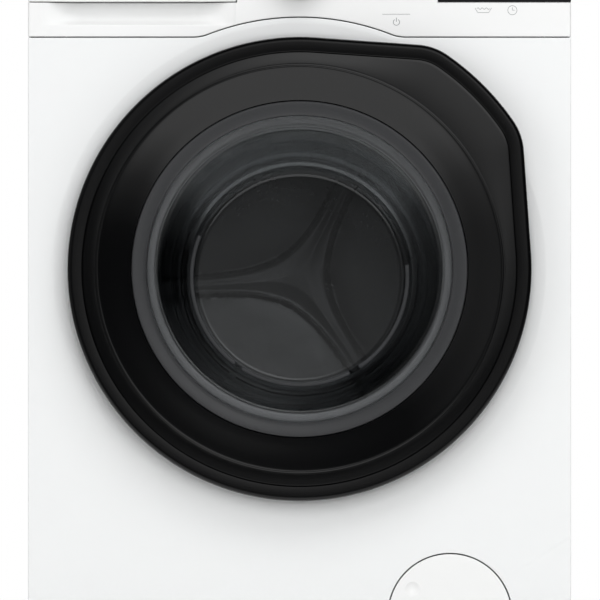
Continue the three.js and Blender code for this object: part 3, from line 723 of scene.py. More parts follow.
def side_panel_surfaces(side):
    """A sheet in Y and Z with a broad pressed field and three swages inside it."""
    y = np.linspace(SIDE_LOW.y, SIDE_HIGH.y, 130)
    z = np.linspace(SIDE_LOW.z, SIDE_HIGH.z, 180)
    across, up = np.meshgrid(y, z)
    field_depth, swage_rise, swage_width, thickness = 1.6, 1.2, 26, 1.8
    field = shoulder(across, -205, 250, 9) * shoulder(up, 90, 770, 9)
    swages = sum(shoulder(up, level, level + swage_width, 10) for level in (260, 430, 600))
    sink = field_depth * field - swage_rise * swages * shoulder(across, -150, 195, 14)
    sink += rolled(np.minimum(across - SIDE_LOW.y, SIDE_HIGH.y - across), PANEL_EDGE)
    outside = np.stack([side * (HALF_W - sink), across, up], axis=-1)
    return sheet_between(outside, outside - np.array([side * thickness, 0, 0]))


def rear_panel_surfaces():
    """The rear sheet, with upright ribs pressed inwards above and below the service cover."""
    across, up = np.meshgrid(np.linspace(-HALF_W, HALF_W, 180), np.linspace(REAR_LOW.z, REAR_HIGH.z, 170))
    depth, half_width, pitch, soft, thickness = 1.6, 11, 42, 7, 2.2
    ribs = sum(shoulder(across, c - half_width, c + half_width, soft) for c in np.arange(-5, 6) * pitch)
    bands = shoulder(up, 110, 225, soft) + shoulder(up, 630, 730, soft)
    outside = np.stack([across, REAR_HIGH.y - depth * ribs * bands, up], axis=-1)
    return sheet_between(outside, outside - np.array([0, thickness, 0]))


def cover_surfaces():
    """The service cover on the back: a plate, a raised field and three pressed ribs."""
    low, high = limits("rear_access_cover")
    margin, rib, foot, top = 20, 9, 275, 575
    base = slab(rounded_box((low.x, high.x), (low.z, high.z), 14), low.y, low.y + SHEET, 0.8)
    raised = rounded_box((low.x + margin, high.x - margin), (low.z + margin, high.z - margin), 10)
    field = slab(raised, low.y + 1, low.y + 4.2, 1.6)
    ribs = [slab(rounded_box((x - rib, x + rib), (foot, top), rib), low.y + 3, high.y, 1.2) for x in (-90, 0, 90)]
    return [base, field, *ribs]


def screw(x, z, y, radius=4.2, way=-1):
    """A pan head screw with a cross recess, as one height over a polar grid: the dome's height, less the depth
    of the cross. way is -1 for a head that faces the front, and 1 for the back."""
    angle = np.linspace(0, TAU, 48, endpoint=False)[None, :]
    far = np.array([0, 0.08, 0.16, 0.26, 0.36, 0.46, 0.58, 0.72, 0.86, 0.95, 1.0])[:, None]
    rise, recess, arm, arm_end, base = 2.3, 1.2, 0.13, 0.5, y - way * 0.5
    across, up = np.abs(far * np.cos(angle)), np.abs(far * np.sin(angle))
    cross = (np.minimum(across, up) < arm) & (np.maximum(across, up) < arm_end)
    height = rise * np.sqrt(np.maximum(1 - (far * 0.93) ** 2, 0)) - recess * cross
    top = np.stack([x + radius * far * np.cos(angle), y + way * height, z + radius * far * np.sin(angle)], axis=-1)
    foot = np.stack([top[-1][:, 0], np.full(48, base), top[-1][:, 2]], axis=-1)
    pole = np.tile([x, base, z], (48, 1))
    return skin(np.concatenate([top, foot[None], pole[None]]), loop_v=True)


def fascia_surfaces():
    """The control panel: a sheet over a grid in X and Z whose lower edge follows the seam. Its face falls back
    over rolled edges, and sinks as part of a cylinder behind the drawer's lower edge for the fingers."""
    left, right = DRAWER_HIGH.x + 1, DISPLAY_LOW.x - 0.5
    joint, top = FASCIA_DRAWER_Z, FASCIA_HIGH.z
    fine = np.array([0, 0.2, 0.5, 1.0, 1.8, 3.0])

    def spread(a, b, steps):
        return np.concatenate([a + fine, np.linspace(a + 5, b - 5, steps), (b - fine)[::-1]])
    x = np.concatenate([spread(-HALF_W, left, 95)[:-1], spread(left, right, 90), spread(right, HALF_W, 60)[1:]])
    low = seam_height(x) + 0.6
    share = np.concatenate([[0, 0.012, 0.035, 0.07], np.linspace(0.12, 0.94, 26), [0.965, 0.985, 1]])
    rise = np.linspace(0, 1, 40)[1:, None] * (top - joint)
    rise[-4:, 0] = top - joint - np.array([1.6, 0.7, 0.2, 0])
    z = np.vstack([low + share[:, None] * (joint - low), np.tile(joint + rise, (1, len(x)))])
    across = np.tile(x, (len(z), 1))
    y = PANEL_Y + rolled(HALF_W - np.abs(across), 2.2) + rolled(z - low, 0.8) + rolled(top - z, 0.8)
    inner = z > joint + 0.01
    y += inner * (rolled(across - left, 0.8) + rolled(right - across, 0.8))
    scoop_y, scoop_z, scoop_r, deepest, lip = PANEL_Y - 6, joint + 4, 28.6, 22.5, 1.6
    deep = scoop_y + np.sqrt(np.maximum(scoop_r ** 2 - (z - scoop_z) ** 2, 0)) - PANEL_Y
    ends = shoulder(across, SCOOP_LEFT, SCOOP_RIGHT, 44)
    soft = np.logaddexp(0, (deep * ends - 0.5) / lip) * lip
    y += np.where(inner, 0, np.minimum(soft, deepest) * (ends > 0) * (deep > -7))
    middle = (x[1:] + x[:-1]) / 2
    upper = (np.arange(len(z) - 1) >= len(share) - 1)[:, None]
    keep = ~upper | ((middle > left) & (middle < right))[None, :]
    sheet = masked_sheet(np.stack([across, y, z], axis=-1), keep, SHEET)
    thick, behind = 2.4, DISPLAY_HIGH.y + 0.4
    flanges = [bar((side - thick, side), (PANEL_Y + 2.3, FASCIA_HIGH.y), (SEAM_Z + 1, joint))
               for side in (-HALF_W + thick, HALF_W)]
    shelf = bar((right - 5.5, HALF_W), (behind, behind + SHEET), (joint - 8, top))
    wall = bar((HALF_W - thick, HALF_W), (behind, FASCIA_HIGH.y), (joint - 1, top))
    return [sheet, *flanges, shelf, wall]


def drawer_front_surfaces():
    """A shallow box open at the back, with a rounded face."""
    low, high = DRAWER_LOW, DRAWER_HIGH
    outline = rounded_box((low.x, high.x), (low.z, high.z), 1.6)
    profile = softened([(3, low.y + 3), (3, high.y), (0, high.y), (0, low.y), (6, low.y)],
                       [0, 0.5, 0.5, 1.6, 0], 6)
    return [carried(outline, profile, capped=True)]


def display_surfaces():
    """The display's window: a plate with soft edges."""
    low, high = DISPLAY_LOW, DISPLAY_HIGH
    return [slab(rounded_box((low.x, high.x), (low.z, high.z), 1.2), low.y, high.y, 0.9, 5)]


def knob_surfaces(ribs):
    """Skirt and grip turned about the shaft; the grip's radius swells and sinks with the angle as ribs."""
    low, high = limits("program_knob")
    face, skirt_y, foot_y = low.y, PANEL_Y - 4.4, PANEL_Y - 0.5
    grip_r, skirt_r, shaft_r, rib_depth = 31, 35, 4, 0.45
    profile = softened([
        (0, face + 1.2), (23, face + 1.0), (26, face), (grip_r, face), (grip_r, skirt_y), (skirt_r, skirt_y),
        (skirt_r, foot_y), (shaft_r, foot_y), (shaft_r, high.y), (0, high.y),
    ], [0, 1, 1, 1.6, 0.8, 1.2, 0.3, 0.3, 0.3, 0], 6)
    points, quads = turned(profile, 0, KNOB_Z, 240, closed=False)
    angle = np.arctan2(points[:, 2] - KNOB_Z, points[:, 0])
    far = np.hypot(points[:, 0], points[:, 2] - KNOB_Z)
    grip = shoulder(points[:, 1], face + 1.5, PANEL_Y - 5, 3) * (far > grip_r - 2) * (far < grip_r + 0.5)
    sink = grip * rib_depth * (1 - np.cos(ribs * angle)) / 2
    scale = 1 - sink / np.maximum(far, 1)
    points = np.column_stack([points[:, 0] * scale, points[:, 1], KNOB_Z + (points[:, 2] - KNOB_Z) * scale])
    return [(points, quads)]


def button_surfaces(node):
    """A button: a cap with round corners, a wider collar that stays behind the panel, and a turned stem."""
    low, high = limits(node)
    x, z = (low.x + high.x) / 2, (low.z + high.z) / 2
    half_x, half_z, lip, foot_y = 16.4, 7.4, 2.6, PANEL_Y + 7
    cap = slab(rounded_box((x - half_x, x + half_x), (z - half_z, z + half_z), lip), low.y, foot_y, 1.1, 5)
    grown_x, grown_z, stem_y = half_x + lip, half_z + lip, PANEL_Y + 6.5
    collar = bar((x - grown_x, x + grown_x), (foot_y - 2, foot_y), (z - grown_z, z + grown_z))
    stem = turned([(0, stem_y), (3, stem_y), (3, high.y), (0, high.y)], x, z, 24, closed=False)
    return [cap, collar, stem]


def worktop_surfaces():
    """The worktop board, with its edges rounded."""
    low, high = limits("worktop")
    board = slab(rounded_box((low.x, high.x), (low.y, high.y), 3), -high.z, -low.z, 1.6, 5)
    return [upright(board, 0, 0, 0)]


def trim_surfaces():
    """The plastic nose on the worktop's front edge: a rounded section run from side to side."""
    low, high = limits("worktop_trim")
    section = softened([(low.y, low.z), (high.y, low.z), (high.y, high.z), (low.y, high.z)],
                       [1.2, 0.3, 0.3, 7], 8, closed=True)
    middle = section.mean(0)
    rows = []
    for x, share in ((low.x, 0), (low.x, 0.94), (low.x + 0.6, 1), (high.x - 0.6, 1), (high.x, 0.94), (high.x, 0)):
        ring = middle + (section - middle) * share
        rows.append(np.column_stack([np.full(len(ring), x), ring]))
    return [skin(np.stack(rows), loop_v=True)]


# ---------------------------------------------------------------------------------------------------------
# Door
# ---------------------------------------------------------------------------------------------------------

def bezel_surfaces():
    """The door's outer frame: one section carried round the outline. Behind the wing it is shallower, and at
    the hinge it is cut away for the arm."""
    front, back = BEZEL_LOW.y, BEZEL_HIGH.y
    profile = softened([
        (0, back), (0, front), (BEZEL_WIDTH, front + 0.5), (BEZEL_WIDTH, front + 6.4),
        (BEZEL_WIDTH + 9, front + 6.4), (BEZEL_WIDTH + 9, front + 15),
        (4, front + 15), (4, back),
    ], [0.5, 5.5, 0.9, 0.3, 0.5, 0.5, 1, 0.5], 7, closed=True)

    def cut_back(points):
        far = np.hypot(points[:, 0], points[:, 2] - DOOR_Z)
        limit = np.where(far > DOOR_R - 0.3, WING_BACK_Y, back)
        limit = np.where((points[:, 0] < -200) & (np.abs(points[:, 2] - DOOR_Z) < 36), front + 7.4, limit)
        return np.column_stack([points[:, 0], np.minimum(points[:, 1], limit), points[:, 2]])
    return [moved(carried(door_outline, profile, closed=True), cut_back)]


def bezel_ring_surfaces():
    """The part of the frame's round skirt that lies behind the wing, as a strip over part of a turn."""
    back = BEZEL_HIGH.y
    angle = np.radians(np.linspace(2, 88, 90))
    grid = []
    for radius, y in ((DOOR_R - 4, WING_BACK_Y - 3), (DOOR_R - 0.4, WING_BACK_Y - 3),
                      (DOOR_R - 0.4, back), (DOOR_R - 4, back)):
        grid.append(ring_at(np.column_stack([radius * np.cos(angle), DOOR_Z + radius * np.sin(angle)]), y))
    grid = np.stack(grid)
    ends = [skin(np.stack([grid[:2, k], grid[3:1:-1, k]])) for k in (0, -1)]
    return [skin(grid, loop_u=True), *ends]


def cover_ring(share, y, inset):
    """A ring of the cover, between the door's outline (share 0) and the crease (share 1)."""
    outer = door_outline(inset)
    angle = np.arctan2(outer[:, 1] - DOOR_Z, outer[:, 0])
    inner = np.column_stack([CREASE_R * np.cos(angle), DOOR_Z + CREASE_R * np.sin(angle)])
    return ring_at(outer * (1 - share) + inner * share, y)


def door_cover_surfaces(crown):
    """The tinted cover: nearly flat from the frame to a soft crease, then a hollow dish down to the window.
    Both faces are lofts between rings, and the front rises by crown from the frame to the crease."""
    edge = BEZEL_WIDTH + 0.4
    front = BEZEL_LOW.y + 2.7
    rings = [cover_ring(0, front + 2.6, edge), cover_ring(0, front + 0.5, edge),
             cover_ring(0, front + 0.1, edge + 0.4)]
    rings += [cover_ring(t, front - crown * math.sin(t * math.pi / 2), edge + 0.8) for t in np.linspace(0, 0.93, 16)]
    top = front - crown
    angle = np.arctan2(rings[0][:, 2] - DOOR_Z, rings[0][:, 0])

    def around(radius, y):
        return np.column_stack([radius * np.cos(angle), np.full(len(angle), y), DOOR_Z + radius * np.sin(angle)])
    dish = softened([(CREASE_R + 4.2, top), (CREASE_R + 2.4, top), (CREASE_R + 0.7, top - 0.6),
                     (CREASE_R - 1.2, top - 0.1), (CREASE_R - 14, top + 5.2),
                     (RING_R + 1.0, RING_Y + 0.8), (RING_R + 0.5, RING_Y + 3.2)],
                    [0, 1, 1.2, 1.5, 12, 0.6, 0], 8)
    back = [(r, y + 3) for r, y in dish[-3:14:-4]]
    rings += [around(r, y) for r, y in dish] + [around(r, y) for r, y in back]
    return [skin(np.stack(rings), loop_u=True, loop_v=True)]


def window_ring_surfaces():
    """The ring round the window: a rounded outer bead, a shallow slope and a thin inner lip."""
    inner = GLASS_R + 0.6
    return [turned(softened([
        (RING_R, RING_Y + 8), (RING_R, RING_Y), (RING_R - 6, RING_Y + 0.2), (171.5, RING_Y + 1.6),
        (inner, RING_Y + 3), (inner, RING_Y + 8),
    ], [0.4, 1.6, 3, 1.2, 0.6, 0.4], 6, closed=True), 0, DOOR_Z, 240)]


def bowl_surfaces():
    """The pressed glass: a flange, a cone that narrows inwards and a rounded end, whose centre line falls
    towards the drum's."""
    front, end = BOWL_LOW.y, BOWL_HIGH.y
    profile = softened([
        (0, end), (BOWL_R, end), (157, front + 4), (GLASS_R, front + 4), (GLASS_R, front),
        (153.4, front), (BOWL_R - BOWL_WALL, end - BOWL_WALL), (0, end - BOWL_WALL),
    ], [0, 8, 4, 1.2, 1.2, 4, 6, 0], 9)

    def fall(points):
        share = np.clip((points[:, 1] - front) / (end - front), 0, 1)
        return np.column_stack([points[:, 0], points[:, 1], points[:, 2] - share * (DOOR_Z - DRUM_Z)])
    return [moved(turned(profile, 0, DOOR_Z, 200, closed=False), fall)]


def inner_frame_surfaces():
    """The frame on the door's inside: a channel round the glass with a stepped rim, cut back near the hinge."""
    low, high = limits("door_inner_frame")
    back = high.y
    channel = turned(softened([
        (170.6, low.y), (173.4, low.y), (173.4, back - 3), (233, back - 3), (233, low.y),
        (236, low.y), (236, back - 11), (240, back - 11), (240, back), (170.6, back),
    ], [0.5] * 6 + [1, 1, 3, 3], 5, closed=True), 0, DOOR_Z, 220)

    def room(points):
        near = (points[:, 0] < -176) & (np.abs(points[:, 2] - DOOR_Z) < 42) & (points[:, 1] < back - 2.4)
        return np.column_stack([points[:, 0], np.where(near, back - 2.4, points[:, 1]), points[:, 2]])
    return [moved(channel, room)]


def frame_screw_surfaces():
    """Ten screws in a ring on the door's inner frame, with a gap in it for the hinge."""
    back = limits("door_inner_frame")[1].y
    angles = np.radians([20, 50, 80, 110, 140, 220, 250, 280, 310, 340])
    return [screw(222 * math.cos(a), DOOR_Z + 222 * math.sin(a), back - 2.2, 3.6, 1) for a in angles]


def gasket_surfaces():
    """The bellows: a rounded section turned about the door's centre in front and the drum's centre behind,
    with the fold between them carrying the difference."""
    rings = softened([
        (159, -275), (161, -278), (167, -278), (169.2, -275), (169.2, -251), (177, -250), (179, -243), (171, -236),
        (170, -222), (170, -203), (164.7, -203), (164.7, -219), (163, -238), (170, -243), (168, -246), (161, -250),
        (159, -256),
    ], 3.0, 5, closed=True)

    def settle(points):
        share = np.clip((points[:, 1] + 250) / (28), 0, 1)
        return np.column_stack([points[:, 0], points[:, 1], points[:, 2] - share * (DOOR_Z - DRUM_Z)])
    return [moved(turned(rings, 0, DOOR_Z, 180), settle)]


# ---------------------------------------------------------------------------------------------------------
# Drum, springs and small parts
# ---------------------------------------------------------------------------------------------------------

def drum_wall_surfaces():
    """The drum's cylinder, with a bead rolled round it near each end."""
    front, back = DRUM_LOW.y, DRUM_HIGH.y
    y = np.linspace(front, back, 60)
    bead = 1.6 * (shoulder(y, front + 18, front + 34, 8) + shoulder(y, back - 40, back - 24, 8))
    inner = np.column_stack([DRUM_R - 2.2 - bead, y])
    outer = np.column_stack([DRUM_R - 0.2 - bead, y])[::-1]
    return [turned(np.vstack([inner, outer]), 0, DRUM_Z, 180)]


def drum_back_surfaces():
    """The drum's back: a raised star of three arms with three sunk fields between them. A point is in a field
    when its distance to the arms' middle lines, a soft minimum over the three, exceeds the arm's half width,
    which narrows outwards."""
    back = DRUM_HIGH.y
    r, a = np.meshgrid(np.linspace(0, 1, 100) * (DRUM_R - 2.4), np.linspace(0, TAU, 300, endpoint=False),
                       indexing="ij")
    soft, arm_tip, arm_root, root_r, thickness = 13, 10, 12, 52, 1.6
    apart = np.abs((a[..., None] - np.radians(STAR_ANGLES) + math.pi) % TAU - math.pi)
    aside = r[..., None] * np.sin(np.minimum(apart, math.pi / 2))
    aside = -soft * np.log(np.exp(-aside / soft).sum(axis=-1) - 0.99 * np.exp(-r / soft))
    half = arm_tip + arm_root * np.exp(-((r / root_r) ** 2))
    field = shoulder(aside - half, 0, 1000, 3.2) * shoulder(r, 0, 214, 6)
    crown = 1.5 * np.clip(1 - aside / half, 0, 1) ** 2
    dome = 4.2 * field * (1 - np.exp(-np.maximum(aside - half, 0) / 24))
    bead = 1.5 * np.exp(-(((aside - half) / 2.4) ** 2)) * shoulder(r, 0, 212, 6)
    y = back - 8.5 - crown + 6.5 * field - dome - bead
    front = np.stack([r * np.cos(a), y, DRUM_Z + r * np.sin(a)], axis=-1)
    rear = front + np.array([0, thickness, 0])
    return [skin(np.concatenate([front, rear[::-1]]), loop_u=True, loop_v=True)]


def drum_lip_surfaces():
    """The drum's front: a flat ring whose inner edge is rolled into a round lip."""
    low, high = limits("drum_front_ring")
    return [turned(softened([
        (DRUM_R - 0.2, high.y - 3), (DRUM_R - 0.2, low.y), (164, low.y), (155, low.y + 1),
        (152.4, low.y + 4), (152.6, high.y), (157, high.y), (160, high.y - 3.6),
    ], [0.6, 1.6, 4, 2, 2, 1.4, 1.4, 1.4], 6, closed=True), 0, DRUM_Z, 200)]


def paddle_surfaces(number):
    """A lifter: a rounded ridge along the drum. Its height falls to the wall at both ends as a cosine, and
    shallow waves run along its crest."""
    turn = 0.35 + (number - 1) * TAU / 3
    height, half_width, start_y, length = 41, 29, -145, 270
    u, v = np.meshgrid(np.linspace(0, 1, 60), np.linspace(-1, 1, 41), indexing="ij")
    y = start_y + length * u
    ends = np.clip(np.minimum(u, 1 - u) / 0.14, 0, 1)
    rise = np.sin(ends * math.pi / 2) ** 0.7
    flank = np.clip(1 - np.abs(v), 0, 1)
    shape = np.sin(np.clip(flank * 1.55, 0, 1) * math.pi / 2) ** 1.3
    high = height * shape * rise * (0.96 + 0.04 * np.cos(u * TAU * 4))
    wide = half_width * v * (0.75 + 0.25 * rise)
    base = (DRUM_R - 5.4) * np.ones_like(u)

    def placed(side, radial):
        x = side * math.cos(turn) - radial * math.sin(turn)
        z = -side * math.sin(turn) - radial * math.cos(turn)
        return np.stack([x, y, DRUM_Z + z], axis=-1)
    top = placed(wide, base - high)
    foot = placed(wide, base + 1.4)
    return sheet_between(top, foot)


def arc_bar(x, z, radii, y, start, end, edge):
    """A bar that follows part of a circle: a section with round corners, turned from one angle to the other,
    whose ends shrink to the section's middle as a quarter of a circle."""
    section = softened([(radii[0], y[0]), (radii[1], y[0]), (radii[1], y[1]), (radii[0], y[1])], edge, 6, closed=True)
    middle = section.mean(0)
    turn = np.linspace(0, math.pi / 2, 6)
    angles = np.concatenate([start - edge / radii[1] * np.sin(turn)[::-1], np.linspace(start, end, 40)[1:-1],
                             end + edge / radii[1] * np.sin(turn)])
    share = np.concatenate([np.sin(turn), np.ones(38), np.sin(turn)[::-1]])
    ring = middle + (section - middle) * share[:, None, None]
    angles = angles[:, None]
    return skin(np.stack([x + ring[..., 0] * np.cos(angles), ring[..., 1], z + ring[..., 0] * np.sin(angles)], axis=-1),
                loop_v=True)


def bead_surfaces():
    """Three arcs of a round bead moulded on the rim of the glass's far end."""
    y = BOWL_HIGH.y - 19
    return [arc_bar(0, DRUM_Z + 1.5, (117.4, 122.4), (y - 3.4, y + 2), math.radians(start),
                    math.radians(end), 1.8) for start, end in ((158, 233), (238, 297), (304, 366))]


def nozzle_surfaces():
    """The spray nozzle that looks into the drum from the top of the gasket: two rounded blocks along it."""
    return [arc_bar(0, DRUM_Z, (152, 161), (-221, -204), math.radians(102), math.radians(117), 4),
            arc_bar(0, DRUM_Z, (154, 161), (-219, -204), math.radians(123), math.radians(131), 3)]


def spring_surfaces(side, coils, wire):
    """A coil spring with a hook at each end: the angle grows along the height, and both ends curl in to the
    axis."""
    low, high = limits("suspension_spring_right" if side > 0 else "suspension_spring_left")
    x, y = (low.x + high.x) / 2, (low.y + high.y) / 2
    radius = (high.x - low.x) / 2 - wire
    t = np.linspace(0, 1, int(coils * 26))
    angle = TAU * coils * t
    close = np.clip(np.minimum(t, 1 - t) / 0.03, 0, 1)
    r = radius * close
    z = low.z + wire + (high.z - low.z - 2 * wire) * t
    path = np.column_stack([x + r * np.cos(angle), y + r * np.sin(angle), z])
    return [tube(path, wire, 8)]


def flap_surfaces():
    """The filter flap: a round plate with a flat foot. Its rings spread from the finger dimple to the edge."""
    low = limits("filter_flap")[0]
    x, z = FLAP_X - 41.4, FLAP_Z + 29.4
    dimple_r, dimple, edge_r, back = 7.9, 2.1, 0.9, low.y + 3
    corner = math.sqrt(FLAP_R ** 2 - (FLAP_FOOT - FLAP_Z) ** 2)
    special = [math.atan2(FLAP_FOOT - z, FLAP_X + s * corner - x) % TAU for s in (-1, 1)]
    angle = np.sort(np.concatenate([np.linspace(0, TAU, 260, endpoint=False), special]))
    rings = []

    def around(far, y):
        return np.column_stack([x + far * np.cos(angle), np.full(len(angle), y), z + far * np.sin(angle)])
    for share in np.linspace(0, 1, 12):
        rings.append(around(dimple_r * share, low.y + dimple * (1 - share ** 2)))

    def edge(inset):
        return reach(x, z, angle, FLAP_X, FLAP_Z, FLAP_R - inset, FLAP_FOOT + inset)
    for share in (0.03, 0.3, 0.6, 0.9):
        rings.append(around(dimple_r + (edge(2) - dimple_r) * share, low.y))
    for turn in np.linspace(0, math.pi / 2, 6):
        rings.append(around(edge(edge_r * (1 - math.sin(turn))), low.y + edge_r * (1 - math.cos(turn))))
    rings += [around(edge(0), back), around(0, back)]
    return [skin(np.stack(rings), loop_v=True)]


def foot_pad_surfaces(x, y, floor):
    """A levelling foot's moulded pad: a disc with soft edges, turned about a line along Z."""
    profile = softened([(0, floor), (19, floor), (21, floor + 4), (18, floor + 12), (0, floor + 12)],
                       [0, 1.5, 3, 2, 0], 6)
    return [turned(profile, x, 0, 64, closed=False, axis="Z", y=y)]


def thread(x, y, z0, z1, radius, pitch, depth, axis="Z", sides=48):
    """A screw thread: the radius rises and falls with the height over the pitch, less the share of a turn."""
    rows = max(8, int((z1 - z0) / pitch * 10))
    height = np.linspace(z0, z1, rows)[:, None]
    angle = np.linspace(0, TAU, sides, endpoint=False)[None, :]
    wave = np.cos(TAU * (height / pitch - angle / TAU)) * shoulder(height, z0 - pitch, z1 + pitch, pitch)
    r = radius - depth / 2 + depth / 2 * wave
    a = x + r * np.cos(angle)
    b = y + r * np.sin(angle)
    c = height + 0 * angle
    grid = np.stack([a, b, c] if axis == "Z" else [a, c, b], axis=-1)
    poles = [np.tile([x, y, h] if axis == "Z" else [x, h, y], (sides, 1))[None] for h in (z0, z1)]
    return skin(np.concatenate([poles[0], grid, poles[1]]), loop_v=True)


# ---------------------------------------------------------------------------------------------------------
# Settings
# ---------------------------------------------------------------------------------------------------------

def color(name, description, default):
    """A colour that the sidebar shows."""
    return FloatVectorProperty(name=name, description=description, subtype="COLOR", size=3, min=0, max=1,
                               default=default)


def length(name, description, default):
    """A length in metres that the sidebar shows."""
    return FloatProperty(name=name, description=description, default=default, min=0, unit="LENGTH", precision=5)


class WasherColors(bpy.types.PropertyGroup):
    enamel: color("Enamel", "Colour of the enamelled sheet", (0.83, 0.84, 0.84))
    plastic: color("White plastic", "Colour of the control panel and the drawer front", (0.84, 0.845, 0.84))
    worktop: color("Worktop", "Colour of the laminate on top", (0.82, 0.825, 0.82))
    bezel: color("Door frame", "Colour of the door's outer frame", (0.0012, 0.0012, 0.0014))
    cover: color("Door cover", "Colour of the polished door cover", (0.002, 0.0021, 0.0023))
    window_ring: color("Window ring", "Colour of the ring round the glass", (0.035, 0.036, 0.038))
    glass: color("Glass", "Tint of light through the glass", (0.74, 0.745, 0.75))
    frame_grey: color("Inner frame", "Colour of the frame on the door's inside", (0.33, 0.34, 0.35))
    steel: color("Stainless steel", "Colour of the drum", (0.55, 0.56, 0.57))
    zinc: color("Zinc", "Colour of galvanised parts", (0.5, 0.52, 0.53))
    aluminium: color("Aluminium", "Colour of cast parts", (0.58, 0.59, 0.6))
    silver: color("Silver", "Colour of the knob and the buttons", (0.55, 0.56, 0.57))
    resin: color("Resin", "Colour of the tub and the drawer tray", (0.62, 0.63, 0.61))
    paddle: color("Paddles", "Colour of the lifters in the drum", (0.42, 0.43, 0.44))
    dark: color("Dark resin", "Colour of pumps, motor and other dark plastic", (0.035, 0.036, 0.038))
    gasket: color("Gasket", "Colour of the door gasket", (0.48, 0.485, 0.49))
    rubber: color("Rubber", "Colour of the belt and the feet", (0.022, 0.022, 0.022))
    concrete: color("Concrete", "Colour of the counterweights", (0.32, 0.31, 0.29))
    ink: color("Ink", "Colour of the printed marks", (0.25, 0.26, 0.27))
    display_ink: color("Display ink", "Colour of the marks on the display", (0.55, 0.57, 0.58))


class WasherSizes(bpy.types.PropertyGroup):
    crown: length("Cover crown", "How far the door cover rises from its frame to its crease", 1.3 * MM)
    hole_pitch: length("Hole pitch", "Distance between neighbouring holes in the drum", 17 * MM)
    hole: length("Hole radius", "Radius of a hole in the drum", 1.9 * MM)
    wire: length("Spring wire", "Radius of the suspension springs' wire", 1.7 * MM)
    coils: IntProperty(name="Coils", description="Coils in each suspension spring", default=17, min=3)
    knob_ribs: IntProperty(name="Knob ribs", description="Ribs round the programme knob", default=60, min=8)
    dial_marks: IntProperty(name="Dial marks", description="Marks round the programme knob", default=15, min=2)


CAD_FINISHES = {
    "tub_resin": ("tub_front", "tub_rear", "drawer_housing", "drawer_tray", "inlet_valve", "pump_housing", "base_tray"),
    "dark_resin": ("control_board", "drain_filter", "drain_outlet", "door_lock", "cord_gland", "damper_cylinder_left",
                   "damper_cylinder_right"),
    "zinc_steel": ("hinge_bracket", "door_hinge_arm"),
    "cast_aluminium": ("drum_spider", "drum_pulley", "motor_body"),
    "bright_steel": ("damper_rod_left", "damper_rod_right", "door_hook", "heater", "bearing_front", "bearing_rear",
                     "motor_pulley"),
    "concrete": ("front_counterweight", "top_counterweight"),
    "belt_rubber": ("drive_belt",),
}


def marks(name, plates, body, slot, finish):
    """Printed marks: thin plates that stand just proud of the face under them."""
    return piece(name, plates, body, slot, finish=finish, sharp=30.0)


def stroke(path, width, y, depth=INK_DEPTH):
    """A printed line of even width along a path of (x, z): two offset edges, and a thin depth along Y."""
    path = np.asarray(path, float)
    ahead = np.gradient(path, axis=0)
    ahead /= np.linalg.norm(ahead, axis=1, keepdims=True)
    side = np.column_stack([-ahead[:, 1], ahead[:, 0]]) * width / 2
    corners = [(path + side, y), (path - side, y), (path - side, y + depth), (path + side, y + depth)]
    grid = np.stack([ring_at(points, level) for points, level in corners])
    ends = [skin(np.stack([grid[:2, k], grid[3:1:-1, k]])) for k in (0, -1)]
    walls = [skin(grid, loop_u=True)]
    return walls + ends


def ring_stroke(x, z, radius, width, y, start=0.0, end=TAU, steps=48, depth=INK_DEPTH):
    """A printed circle, or a part of one."""
    if end - start > TAU - 0.01:
        inner, outer = radius - width / 2, radius + width / 2
        return [turned([(inner, y), (outer, y), (outer, y + depth), (inner, y + depth)], x, z, steps)]
    return stroke(arc(x, z, radius, start, end, steps), width, y, depth)


def plain(x, z, y, depth=INK_DEPTH, radius=0.3):
    """A printed block between pairs of limits."""
    return slab(rounded_box(x, z, radius, 3), y, y + depth, 0.05, 2)


# ---------------------------------------------------------------------------------------------------------
# Operators
# ---------------------------------------------------------------------------------------------------------

